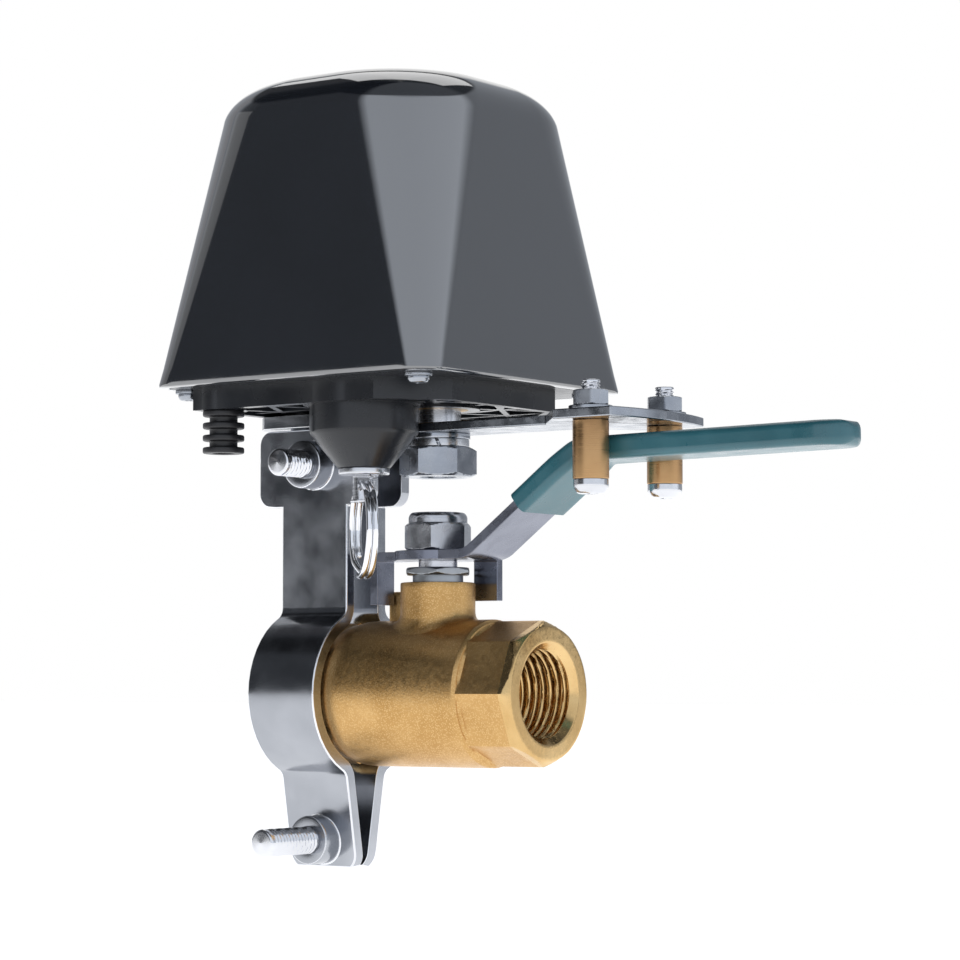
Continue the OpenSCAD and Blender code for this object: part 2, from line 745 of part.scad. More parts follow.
module output_gear() color("#d8d6cc") translate([0, 0, out_gear_z]) difference() {
    union() {
        gear(out_module, out_teeth, out_gear_t, out_phase);
        translate([0, 0, out_gear_t]) cylinder(r = out_hub_r, h = out_hub_h);
    }
    translate([0, 0, -over]) cylinder(r = shaft_gear_r, h = through);
}

module output_shaft() color("#b9bcc2") difference() {
    union() {
        translate([0, 0, arm_nut_z + 0.3]) cylinder(r = shaft_thread_r, h = arm_z - arm_nut_z);
        translate([0, 0, arm_z + arm_t]) cylinder(r = shaft_r, h = out_gear_z - arm_z - arm_t);
        translate([0, 0, arm_z - 0.5]) intersection() {
            cylinder(r = shaft_thread_r, h = arm_t + 1);
            cube([2 * arm_flat, 40, 20], center = true);
        }
        translate([0, 0, out_gear_z]) cylinder(r = shaft_gear_r, h = idler_wheel_z + wheel_t - out_gear_z);
        translate([0, 0, idler_wheel_z]) cylinder(r = shaft_top_r, h = deck_z - idler_wheel_z);
    }
    for (s = [-1, 1]) translate([s * (arm_flat + 10), 0, arm_z + arm_t / 2])
        cube([20, 40, arm_t], center = true);
}

arm_flat = 3.2;

module output_bush() color("#b58a48") translate([0, 0, base_z]) ring(bush_out_r, shaft_r + run_gap,
    floor_z + 1 - base_z);

module limit_cam() color("#e6e4dc") translate([0, 0, idler_wheel_z - 0.1]) linear_extrude(wheel_t)
    difference() {
        union() {
            circle(r = 6);
            intersection() {
                circle(r = 7.8);
                polygon([[0, 0], polar(20, 70), polar(20, 110)]);
            }
        }
        circle(r = shaft_gear_r);
    }

module limit_switches() color("#1f2023") for (a = [0, 90]) rotate(a)
    translate([8.6, -6.4, plate_z - 7]) {
        cube([6, 12.8, 7]);
        translate([-0.5, -0.2, 3.6]) cube([0.5, 9, 2]);
    }

pillar_half = 24;
pillar_r = 3;
pillar_screw_r = 1.25;
pillar_hole_h = 8;
pillar_screw_l = 6;
pillar_head_h = 1.6;
plate_corner = 4;
plate_margin = 5;

module pillar_places() at_head() for (p = [[1, 1], [1, -1], [-1, 1], [-0.79, -1.08]])
    at(pillar_half * p) children();

module gearbox_plate() color("#9ea1a7") difference() {
    at_head() translate([0, 0, plate_z]) linear_extrude(gear_plate_t)
        rounded_square(pillar_half + plate_margin, plate_corner);
    translate([0, 0, plate_z - over]) cylinder(r = shaft_top_r + run_gap, h = through);
    at(clutch_p) translate([0, 0, plate_z - over]) cylinder(r = pin_r + run_gap, h = through);
    at(idler_p) translate([0, 0, plate_z - over]) cylinder(r = axle_r, h = through);
    at(drive_p) translate([0, 0, plate_z - over]) cylinder(r = drive_shaft_r + free_gap, h = through);
    pillar_places() translate([0, 0, plate_z - over]) cylinder(r = pillar_screw_r, h = through);
}

module gearbox_pillars() color("#c9a552") pillar_places() translate([0, 0, floor_z]) difference() {
    cylinder(r = pillar_r, h = plate_z - floor_z);
    translate([0, 0, plate_z - floor_z - pillar_hole_h]) cylinder(r = pillar_screw_r, h = through);
}

module pillar_screws() color("#c9ccd1") pillar_places() {
    translate([0, 0, plate_z - pillar_screw_l])
        cylinder(r = pillar_screw_r, h = pillar_screw_l + gear_plate_t);
    translate([0, 0, deck_z]) cylinder(r1 = 2.4, r2 = 1.8, h = pillar_head_h);
}

// ---- drive arm ----

module arm_outline() difference() {
    union() {
        circle(r = arm_half);
        translate([0, -arm_half]) square([near_sleeve_x, 2 * arm_half]);
        intersection() {
            circle(r = arm_reach, $fn = 128);
            polygon([[near_sleeve_x - 14, -arm_half], [near_sleeve_x - 5, -fan_half],
                [arm_reach, -fan_half], [arm_reach, fan_half],
                [near_sleeve_x - 5, fan_half], [near_sleeve_x - 14, arm_half]]);
        }
    }
    for (p = sleeve_places) at(p) rotate(90) slot_2d(2 * screw_r + 5, 2 * screw_r + 0.3);
    intersection() {
        circle(r = shaft_thread_r);
        square([2 * arm_flat, 40], center = true);
    }
}

module drive_arm() color("#cfd3da") translate([0, 0, arm_z]) linear_extrude(arm_t) arm_outline();

module arm_washer() color("#cfd3da") translate([0, 0, arm_z - flat_washer_t])
    ring(flat_washer_r, shaft_thread_r, flat_washer_t);

module arm_lock_washer() color("#b9bcc2")
    translate([0, 0, arm_z - flat_washer_t - lock_washer_t]) difference() {
        ring(lock_washer_r, shaft_thread_r, lock_washer_t);
        rotate(-54) translate([2, -0.3, -1]) rotate([20, 0, 0]) cube([10, 0.6, 6]);
    }

module arm_nut() color("#c6cad0") translate([0, 0, arm_nut_z]) difference() {
    rotate(arm_nut_turn) hex_block(arm_nut_af, arm_nut_h);
    translate([0, 0, -over]) cylinder(r = shaft_thread_r, h = through);
}

module lever_sleeves() color("#b5743c") for (p = sleeve_places) at(p)
    translate([0, 0, sleeve_z]) ring(sleeve_r, sleeve_bore_r, sleeve_h);

screw_head_r = 3.6;
screw_head_h = 3;
slot_w = 0.8;
screw_end_l = 2.1;
screw_top_z = arm_z + arm_t + sleeve_washer_t + sleeve_nut_h + screw_end_l;

module sleeve_screws() color("#d9dbe0") for (p = sleeve_places) at(p) difference() {
    union() {
        translate([0, 0, sleeve_z]) cylinder(r = screw_r, h = screw_top_z - sleeve_z);
        translate([0, 0, sleeve_z]) pan_head(screw_head_r, screw_head_h);
    }
    for (a = [10, 100]) rotate(a)
        translate([-screw_head_r / 2, -slot_w / 2, sleeve_z - screw_head_h - 0.1])
            cube([screw_head_r, slot_w, screw_head_h / 2]);
}

module sleeve_washers() color("#d5d8de") for (p = sleeve_places) at(p)
    translate([0, 0, arm_z + arm_t]) ring(sleeve_washer_r, screw_r, sleeve_washer_t);

module sleeve_nuts() color("#d5d8de") for (p = sleeve_places) at(p)
    translate([0, 0, arm_z + arm_t + sleeve_washer_t]) difference() {
        rotate(6) hex_block(sleeve_nut_af, sleeve_nut_h);
        translate([0, 0, -over]) cylinder(r = screw_r, h = through);
    }

// ---- bracket ----

clamp_mid_r = clamp_r + plate_t / 2;
straight_y = jaw_gap + plate_t / 2;
bend_z = sqrt(pow(clamp_mid_r + bend_r, 2) - pow(straight_y + bend_r, 2));
meet_p = [straight_y + bend_r, bend_z] * clamp_mid_r / norm([straight_y + bend_r, bend_z]);
corner_z = (clamp_mid_r * clamp_mid_r - straight_y * meet_p[0]) / meet_p[1];
leg_end_y = 1.7;

// Edge view of one plate in [distance from the middle, height]
module clamp_profile(top_z) {
    bent_sheet([[straight_y, top_z], [straight_y, corner_z],
        [clamp_mid_r * clamp_mid_r / meet_p[0], 0],
        [straight_y, -corner_z], [leg_end_y, leg_end_z]],
        [bend_r, clamp_mid_r, bend_r], plate_t);
}

module edge_on(w) {
    translate([-clamp_x - w / 2, 0, 0]) rotate([90, 0, 90]) linear_extrude(w) children();
}

// The outline of a plate seen square on, in [distance along the pipe, height]
module plate_face(top_z, corner) {
    translate([0, wide_head_z + (top_z - wide_head_z) / 2]) hull() for (x = [-1, 1]) {
        for (z = [-1, 1]) translate([x * (head_w / 2 - corner), z * ((top_z - wide_head_z) / 2 - corner)])
            circle(r = corner, $fn = 32);
    }
    translate([-strip_w / 2, leg_end_z + 3]) square([strip_w, wide_head_z - leg_end_z]);
    hull() for (x = [-1, 1]) translate([x * (strip_w / 2 - 4), leg_end_z + 3])
        circle(r = 4, $fn = 32);
}

module plate(top_z, corner) intersection() {
    edge_on(head_w) clamp_profile(top_z);
    translate([-clamp_x, 20, 0]) rotate([90, 0, 0]) linear_extrude(60) plate_face(top_z, corner);
}

module bolt_hole(z, r) translate([-clamp_x, 40, z]) rotate([90, 0, 0]) cylinder(r = r, h = 80);

jaw_boss_r = 5.2;
jaw_boss_h = 4.6;
lower_leg_y = leg_end_y + (straight_y - leg_end_y) * (lower_bolt_z - leg_end_z) / (-bend_z - leg_end_z);

module clamp_jaw() color("#4a4d52") difference() {
    union() {
        mirror([0, 1, 0]) plate(jaw_top_z, 3);
        translate([-clamp_x, -jaw_gap - 0.5, upper_bolt_z]) rotate([90, 0, 0])
            cylinder(r = jaw_boss_r, h = plate_t + jaw_boss_h - 0.5);
        translate([-clamp_x, -lower_leg_y, lower_bolt_z]) rotate([90, 0, 0])
            cylinder(r = jaw_boss_r, h = plate_t / 2 + jaw_boss_h);
    }
    bolt_hole(upper_bolt_z, bolt_r);
    bolt_hole(lower_bolt_z, bolt_r);
}

module flange_face() polygon([[-head_w / 2, jaw_gap + plate_t], [head_w / 2, jaw_gap + plate_t],
    [head_w / 2, flange_y + 3], [head_w / 2 - 3, flange_y], [3 - head_w / 2, flange_y],
    [-head_w / 2, flange_y + 3]]);

module bracket_frame() color("#4a4d52") difference() {
    union() {
        plate(flange_top_z, 3);
        translate([-clamp_x - head_w / 2, jaw_gap, flange_z - 6])
            cube([head_w, plate_t, 6 + plate_t]);
        translate([-clamp_x, 0, flange_z]) linear_extrude(plate_t) flange_face();
    }
    bolt_hole(upper_bolt_z, bolt_r + bolt_play);
    bolt_hole(lower_bolt_z, bolt_r + bolt_play);
    for (x = bracket_screw_x) translate([x, 0, flange_z - over])
        cylinder(r = screw_r + 0.2, h = through);
}

module clamp_bolt(z, head_y, tip_y) translate([-clamp_x, 0, z]) rotate([90, 0, 0]) {
    translate([0, 0, -head_y - 1]) cylinder(r = bolt_r, h = head_y - tip_y + 0.4);
    translate([0, 0, -tip_y - bolt_tip_h]) cylinder(r1 = bolt_r, r2 = bolt_r - 0.5, h = bolt_tip_h);
    translate([0, 0, -head_y - bolt_head_h]) rotate(30) hex_block(bolt_head_af, bolt_head_h);
}

module upper_clamp_bolt() color("#c4c7cc") clamp_bolt(upper_bolt_z, jaw_gap + plate_t, upper_tip_y);
module lower_clamp_bolt() color("#c4c7cc")
    clamp_bolt(lower_bolt_z, lower_leg_y + plate_t / 2 + 1.1, lower_tip_y);

bracket_head_r = 3.4;
bracket_head_h = 2.3;

module bracket_screws() color("#c9ccd1") for (x = bracket_screw_x) translate([x, 0, flange_z])
    difference() {
        union() {
            cylinder(r = screw_r, h = floor_z - flange_z - 0.5);
            pan_head(bracket_head_r, bracket_head_h);
        }
        for (a = [0, 90]) rotate(a)
            translate([-bracket_head_r / 2, -slot_w / 2, -bracket_head_h - 0.1])
                cube([bracket_head_r, slot_w, bracket_head_h * 0.6]);
    }

module bracket_inserts() color("#b58a48") for (x = bracket_screw_x) translate([x, 0, base_z])
    ring(insert_r, screw_r, floor_z - base_z);

// ---- valve ----

module along_x(x) translate([x, 0, 0]) rotate([0, 90, 0]) children();

module octagon_bar(length) rotate(22.5 + 22.5) cylinder(r = octagon_r, h = length, $fn = 8);

face_cut = 1.4;
mouth_r = 10.75;

// The octagon end whose outer face is turned down to a cone
module octagon_end(length) intersection() {
    octagon_bar(length);
    rotate_extrude() polygon([[0, -1], [octagon_r + 1, -1], [octagon_r + 1, length - face_cut - 1],
        [octagon_r - face_cut, length], [0, length]]);
}

// The port's bore, with its bottom at the end of the threads and its mouth at height 0
module port_bore() {
    mouth_h = mouth_r - thread_r;
    rotate_extrude() polygon([[0, -thread_l - mouth_h], [thread_r, -thread_l - mouth_h],
        [thread_r, -mouth_h], [mouth_r + 1, 1], [0, 1]]);
}

lug_x = [-tail_x, -side_tab_y - tab_t - free_gap];
packing_z = 16.2;
packing_h = 4;
collar_z = ball_r + 1.2;
collar_h = 2.8;
collar_r = 5;

module valve_body() color("#b8864a") difference() {
    union() {
        along_x(0) rotate_extrude() polygon([[0, adapter_x], [barrel_r - 0.9, adapter_x],
            [barrel_r, adapter_x + 4.6], [barrel_r, barrel_end_x - 1.2],
            [octagon_r * cos(22.5) - 0.3, barrel_end_x + 0.5], [0, barrel_end_x + 0.5]]);
        along_x(barrel_end_x - 2) octagon_end(port_x - barrel_end_x + 2);
        cylinder(r = neck_r, h = neck_top);
        translate([lug_x[0], tail_half + free_gap, 8])
            cube([lug_x[1] - lug_x[0], 5.6, 14]);
    }
    along_x(adapter_x - 1) cylinder(r = spigot_r, h = -seat_end_x - adapter_x + 1);
    along_x(-seat_end_x - 1) cylinder(r = chamber_r, h = 2 * seat_end_x + 1);
    along_x(0) cylinder(r = passage_r, h = port_x);
    along_x(port_x) port_bore();
    translate([0, 0, 4]) cylinder(r = collar_r + run_gap, h = collar_z + collar_h + 0.3 - 4);
    cylinder(r = stem_r + run_gap, h = neck_top + 1);
    translate([0, 0, packing_z]) cylinder(r = gland_r, h = 20);
}

module end_adapter() color("#b8864a") difference() {
    union() {
        mirror([1, 0, 0]) along_x(-adapter_x) octagon_end(port_x + adapter_x);
        mirror([1, 0, 0]) along_x(seat_end_x) cylinder(r = spigot_r, h = -adapter_x - seat_end_x + 1);
    }
    mirror([1, 0, 0]) along_x(port_x) port_bore();
    mirror([1, 0, 0]) along_x(seat_end_x - 1) cylinder(r = passage_r, h = port_x);
}

tang_half = 1.6;
slot_z = waterway_r + 1.2;
tang_x = 4;

module ball() color("#d5d8de") difference() {
    sphere(r = ball_r, $fn = 96);
    along_x(-2 * ball_r) cylinder(r = waterway_r, h = 4 * ball_r);
    translate([-ball_r, -tang_half - run_gap, slot_z])
        cube([2 * ball_r, 2 * (tang_half + run_gap), ball_r]);
}

module ball_seats() color("#f1efe8") for (a = [90, -90]) rotate([0, a, 0])
    rotate_extrude() difference() {
        translate([passage_r, seat_x]) square([chamber_r - passage_r, seat_end_x - seat_x]);
        circle(r = ball_r + run_gap, $fn = 96);
    }

module stem() color("#c6cad0") {
    translate([-tang_x, -tang_half, slot_z + 0.2])
        cube([2 * tang_x, 2 * tang_half, collar_z - slot_z - 0.1]);
    translate([0, 0, collar_z]) cylinder(r = collar_r, h = collar_h);
    translate([0, 0, collar_z]) cylinder(r = stem_r, h = stem_shoulder_z - collar_z);
    intersection() {
        translate([0, 0, stem_shoulder_z - 0.1]) cylinder(r = thread_top_r, h = lever_t + 0.1);
        cube([2 * flat_half, 20, far], center = true);
    }
    translate([0, 0, lever_nut_z]) cylinder(r = thread_top_r, h = lever_nut_h + 1.2);
}

module stem_packing() color("#f1efe8") translate([0, 0, packing_z])
    ring(gland_r, stem_r + run_gap, packing_h);

module gland_nut() color("#8f9298") difference() {
    union() {
        translate([0, 0, packing_z + packing_h])
            cylinder(r = gland_r, h = neck_top + gland_flange_t + 0.5 - packing_z - packing_h);
        translate([0, 0, neck_top + gland_flange_t]) rotate(4) hex_block(gland_hex_af, gland_hex_t);
    }
    cylinder(r = stem_r + run_gap, h = far);
}

// ---- lever ----

ramp_x = [12.4, 40.2];
handle_climb = 0.9;
lever_mid_z = lever_z + lever_t / 2;
handle_tip_x = lever_reach - grip_half;
lever_line = [[-tail_x + tab_t / 2, lever_mid_z], [ramp_x[0], lever_mid_z],
    [ramp_x[1], lever_mid_z + lever_rise],
    [lever_reach - grip_wall - 1, lever_mid_z + lever_rise + handle_climb]];
lever_bend_r = 6;
lever_hub_r = 9.2;
grip_x = 26;
handle_half = grip_half - grip_wall;
narrow_x = [35, near_sleeve_x - sleeve_r - 0.8];

module side_view(w) translate([0, w / 2, 0]) rotate([90, 0, 0]) linear_extrude(w) children();

// Plan of the lever or of its grip, as half widths on the ramp and on the handle
module lever_plan(ramp_half, half) {
    polygon([[0, -ramp_half], [narrow_x[0], -ramp_half], [narrow_x[1], -half],
        [handle_tip_x, -half], [handle_tip_x, half], [narrow_x[1], half],
        [narrow_x[0], ramp_half], [0, ramp_half]]);
    translate([handle_tip_x, 0]) circle(r = half);
}

module lever_steel() {
    intersection() {
        side_view(40) bent_sheet(lever_line, [lever_bend_r, lever_bend_r], lever_t);
        linear_extrude(far) {
            lever_plan(lever_half, handle_half);
            circle(r = lever_hub_r);
            translate([-tail_x, -tail_half]) square([tail_x, 2 * tail_half]);
            translate([side_tab_x[0], 0])
                square([side_tab_x[1] - side_tab_x[0], side_tab_y + tab_t]);
        }
    }
    translate([-tail_x, -tail_half, tail_tab_z])
        cube([tab_t, 2 * tail_half, lever_z + lever_t - tail_tab_z]);
    translate([side_tab_x[0], side_tab_y, side_tab_z])
        cube([side_tab_x[1] - side_tab_x[0], tab_t, lever_z + lever_t - side_tab_z]);
}

module lever() color("#a9a9b5") difference() {
    lever_steel();
    intersection() {
        cylinder(r = thread_top_r, h = far);
        cube([2 * flat_half, 20, far], center = true);
    }
}

module lever_grip() color("#2c6e78") difference() {
    intersection() {
        side_view(40) bent_sheet([lever_line[1], lever_line[2], lever_line[3] + [5, 0]],
            [lever_bend_r], lever_t + 2 * grip_wall);
        linear_extrude(far) intersection() {
            lever_plan(lever_half + 1, grip_half);
            translate([grip_x, -50]) square([200, 100]);
        }
    }
    lever_steel();
}

module lever_nut() color("#b4b7bd") translate([0, 0, lever_nut_z]) difference() {
    union() {
        rotate(-5) hex_block(lever_nut_af, lever_nut_h);
        translate([0, 0, lever_nut_h - collar_edge])
            cylinder(r = collar_ring_r, h = lever_nut_collar_h);
        translate([0, 0, lever_nut_h - collar_edge + lever_nut_collar_h])
            cylinder(r1 = collar_ring_r, r2 = collar_ring_r - collar_edge, h = collar_edge);
    }
    translate([0, 0, -over]) cylinder(r = thread_top_r, h = through);
}

cover();
cover_seal();
cover_screws();
cover_washers();
base_plate();
clutch_housing();
cable_gland();
side_button();
indicator_lens();
circuit_board();
board_parts();
board_brackets();
motor_can();
gearhead();
drive_pinion();
idler_gear();
idler_axle();
clutch_gear();
clutch_pin();
clutch_clips();
clutch_spring();
clutch_bush();
pull_ring();
output_gear();
output_shaft();
output_bush();
limit_cam();
limit_switches();
gearbox_plate();
gearbox_pillars();
pillar_screws();
drive_arm();
arm_washer();
arm_lock_washer();
arm_nut();
lever_sleeves();
sleeve_screws();
sleeve_washers();
sleeve_nuts();
bracket_frame();
clamp_jaw();
upper_clamp_bolt();
lower_clamp_bolt();
bracket_screws();
bracket_inserts();
valve_body();
end_adapter();
ball();
ball_seats();
stem();
stem_packing();
gland_nut();
lever();
lever_grip();
lever_nut();
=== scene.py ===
import json
import math

import bmesh
import bpy
from mathutils import Matrix, Vector


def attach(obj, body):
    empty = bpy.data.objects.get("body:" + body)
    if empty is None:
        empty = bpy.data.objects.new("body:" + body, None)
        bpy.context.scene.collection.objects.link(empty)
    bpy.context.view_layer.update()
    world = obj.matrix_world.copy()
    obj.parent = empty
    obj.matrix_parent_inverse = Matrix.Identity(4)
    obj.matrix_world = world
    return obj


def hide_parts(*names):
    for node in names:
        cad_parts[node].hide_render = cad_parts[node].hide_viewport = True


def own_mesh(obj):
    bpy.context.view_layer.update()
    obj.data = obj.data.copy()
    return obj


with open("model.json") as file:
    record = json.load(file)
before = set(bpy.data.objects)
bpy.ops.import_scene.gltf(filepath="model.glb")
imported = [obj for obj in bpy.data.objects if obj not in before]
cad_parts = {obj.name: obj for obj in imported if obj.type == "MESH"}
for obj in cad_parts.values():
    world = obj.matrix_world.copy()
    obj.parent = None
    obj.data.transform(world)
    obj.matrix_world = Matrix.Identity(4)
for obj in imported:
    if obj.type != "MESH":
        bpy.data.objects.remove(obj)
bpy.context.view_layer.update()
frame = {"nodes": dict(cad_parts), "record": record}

# ---------------------------------------------------------------- camera

camera_data = bpy.data.cameras.new("camera")
camera_data.sensor_width = 36
camera_data.lens = 115.5
camera_data.clip_start = 0.01
camera_data.clip_end = 50
camera = bpy.data.objects.new("camera", camera_data)
bpy.context.scene.collection.objects.link(camera)
camera.location = (0.3924, -0.5267, 0.0019)
camera.rotation_euler = Vector((-0.585, 0.808, 0.0663)).to_track_quat("-Z", "Y").to_euler()
bpy.context.scene.camera = camera
bpy.context.scene.view_settings.view_transform = "Standard"

# ---------------------------------------------------------------- sizes, in millimetres

HEAD_X = -12.7
COVER_Z = 65.1
COVER_HALF = 37.2
COVER_LEAN = 5.4
COVER_SIDE = 57.0
RIM_CORNER = 6.0
SHOULDER_CORNER = 20.0
SHOULDER_R = 9.0
CROWN_Z = 133.45
COVER_WALL = 3.4
CLUTCH = (-5.7736, -18.3114)
GLAND = (-38.3, -25.6)
CLAMP_X = -28.4
RING_TURN = -41.0
SLEEVES = ((46.8, -11.2), (50.2, 11.2))
PIPE_PITCH = 1.814
COVER_SCREWS = ((30.2, 30.2), (30.2, -30.2), (-33.8, 27.5), (-33.8, -27.5))
FLOOR_Z = 67.6
LEDGE_Z = 68.8
PANEL = (-45.097, 115.8)
BUTTON_Y = -10.5
CONE_END_Z, CONE_MID_Z = 47.2, 54.5
SHOULDER_EASE = 0.8

# ---------------------------------------------------------------- materials


class Finish:
    """A node tree for one finish, with short ways to add and link nodes."""

    def __init__(self, name):
        self.material = bpy.data.materials.new(name)
        self.material.use_nodes = True
        self.tree = self.material.node_tree
        self.shader = self.tree.nodes["Principled BSDF"]
        self.place = self.add("ShaderNodeTexCoord").outputs["Object"]

    def add(self, kind, **inputs):
        made = self.tree.nodes.new(kind)
        for key, value in inputs.items():
            made.inputs[key.replace("_", " ")].default_value = value
        return made

    def link(self, start, end):
        self.tree.links.new(start, end)

    def stretched(self, scale):
        mapping = self.add("ShaderNodeMapping")
        mapping.inputs["Scale"].default_value = scale
        self.link(self.place, mapping.inputs["Vector"])
        return mapping.outputs["Vector"]

    def noise(self, scale, detail=3.0, place=None):
        made = self.add("ShaderNodeTexNoise", Scale=scale, Detail=detail)
        self.link(place or self.place, made.inputs["Vector"])
        return made.outputs["Fac"]

    def cells(self, scale):
        made = self.add("ShaderNodeTexVoronoi", Scale=scale)
        self.link(self.place, made.inputs["Vector"])
        return made.outputs["Distance"]

    def span(self, value, low, high, start=0.3, end=0.7):
        made = self.add("ShaderNodeMapRange")
        for key, number in (("From Min", start), ("From Max", end), ("To Min", low), ("To Max", high)):
            made.inputs[key].default_value = number
        self.link(value, made.inputs["Value"])
        return made.outputs["Result"]

    def blend(self, factor, first, second):
        made = self.add("ShaderNodeMix")
        made.data_type = "RGBA"
        self.link(factor, made.inputs[0])
        for socket, colour in ((made.inputs[6], first), (made.inputs[7], second)):
            if isinstance(colour, tuple):
                socket.default_value = (*colour, 1)
            else:
                self.link(colour, socket)
        return made.outputs[2]

    def bump(self, height, strength, depth, under=None):
        made = self.add("ShaderNodeBump", Strength=strength, Distance=depth)
        self.link(height, made.inputs["Height"])
        if under:
            self.link(under, made.inputs["Normal"])
        self.link(made.outputs["Normal"], self.shader.inputs["Normal"])
        return made.outputs["Normal"]

    def colour(self, socket):
        self.link(socket, self.shader.inputs["Base Color"])

    def rough(self, socket):
        self.link(socket, self.shader.inputs["Roughness"])

    def fix(self, **values):
        for key, value in values.items():
            self.shader.inputs[key.replace("_", " ")].default_value = value


def metal(name, dark, light, rough, grain=900.0, grain_depth=0.000004, patch=60.0, spread=0.08):
    """Plated or polished metal with faint patches, uneven gloss and a fine grain."""
    f = Finish(name)
    f.fix(Metallic=1.0)
    patches = f.noise(patch, 4.0)
    f.colour(f.blend(f.span(patches, 0.0, 1.0), dark, light))
    f.rough(f.span(f.noise(patch * 3.1, 5.0), max(rough - spread, 0.03), rough + spread))
    f.bump(f.noise(grain, 2.0), 0.25, grain_depth)
    return f


def turned_metal(name, dark, light, rough, axis_scale):
    """Machined metal whose fine lines run round the piece."""
    f = Finish(name)
    f.fix(Metallic=1.0)
    lines = f.noise(1.0, 4.0, f.stretched(axis_scale))
    f.colour(f.blend(f.span(f.noise(80.0), 0.0, 1.0), dark, light))
    f.rough(f.span(lines, rough - 0.05, rough + 0.1))
    f.bump(lines, 0.3, 0.00001)
    return f


def plastic(name, dark, light, rough, grain, grain_depth, patch=45.0, spread=0.06):
    """Moulded plastic with a grain and slight variation in gloss."""
    f = Finish(name)
    f.colour(f.blend(f.span(f.noise(patch), 0.0, 1.0), dark, light))
    f.rough(f.span(f.noise(patch * 2.3, 4.0), max(rough - spread, 0.03), rough + spread))
    f.bump(f.noise(grain, 3.0), 0.35, grain_depth)
    return f


def blasted_brass():
    """Cast brass after bead blasting: a tight frosted grain, with warmer and paler patches."""
    f = Finish("valve_brass")
    f.fix(Metallic=1.0)
    tone = f.blend(f.span(f.noise(70.0, 5.0), 0.0, 1.0, 0.35, 0.65), (0.52, 0.3, 0.105), (0.66, 0.41, 0.165))
    specks = f.span(f.cells(2600.0), 0.0, 1.0, 0.1, 0.5)
    f.colour(f.blend(specks, (0.74, 0.5, 0.23), tone))
    f.rough(f.span(f.noise(900.0, 4.0), 0.32, 0.44))
    f.bump(f.noise(260.0, 3.0), 0.25, 0.00006, f.bump(f.cells(2200.0), 0.5, 0.00004))
    return f


def machined_brass():
    """The port faces and threads, cut bright by the tool."""
    f = Finish("port_brass")
    f.fix(Metallic=1.0)
    f.colour(f.blend(f.span(f.noise(120.0), 0.0, 1.0), (0.6, 0.38, 0.15), (0.76, 0.53, 0.25)))
    f.rough(f.span(f.noise(1200.0, 2.0), 0.14, 0.28))
    f.bump(f.noise(1.0, 3.0, f.stretched((9000.0, 60.0, 60.0))), 0.3, 0.000008)
    return f


def head_gloss():
    """Polished black moulding of the cover."""
    f = Finish("head_plastic")
    f.fix(Coat_Weight=1.0, Coat_Roughness=0.035, Coat_IOR=2.2, IOR=2.1, Specular_IOR_Level=0.5)
    f.colour(f.blend(f.span(f.noise(30.0), 0.0, 1.0), (0.007, 0.009, 0.013), (0.011, 0.0135, 0.019)))
    f.rough(f.span(f.noise(160.0, 4.0), 0.07, 0.13))
    f.bump(f.noise(75.0, 1.0), 0.05, 0.00005, f.bump(f.noise(2400.0, 1.0), 0.04, 0.000004))
    return f


def grip_vinyl():
    """Dipped vinyl: soft gloss, thin and dark where it ran, pale dust in the fine texture."""
    f = Finish("grip_vinyl")
    f.fix(Specular_IOR_Level=0.6, Coat_Weight=0.25, Coat_Roughness=0.25)
    f.colour(f.blend(f.span(f.noise(55.0, 4.0), 0.0, 1.0), (0.018, 0.1, 0.125), (0.034, 0.155, 0.19)))
    f.rough(f.span(f.noise(220.0, 4.0), 0.24, 0.38))
    f.bump(f.noise(110.0, 2.0), 0.15, 0.00015, f.bump(f.noise(3000.0, 2.0), 0.2, 0.00001))
    return f


def lens_glass():
    """The half clear plastic of the indicator window."""
    f = Finish("lens")
    f.fix(Transmission_Weight=0.55, IOR=1.49)
    f.colour(f.blend(f.span(f.noise(90.0), 0.0, 1.0), (0.42, 0.47, 0.52), (0.5, 0.55, 0.6)))
    f.rough(f.span(f.noise(300.0), 0.05, 0.12))
    return f


def circuit_green():
    """Solder mask with paler tracks under it."""
    f = Finish("board")
    tracks = f.add("ShaderNodeTexBrick", Scale=220.0, Mortar_Size=0.06)
    f.link(f.stretched((0.0, 1.0, 1.0)), tracks.inputs["Vector"])
    f.colour(f.blend(tracks.outputs["Fac"], (0.012, 0.11, 0.05), (0.03, 0.2, 0.09)))
    f.rough(f.span(f.noise(300.0), 0.25, 0.4))
    return f


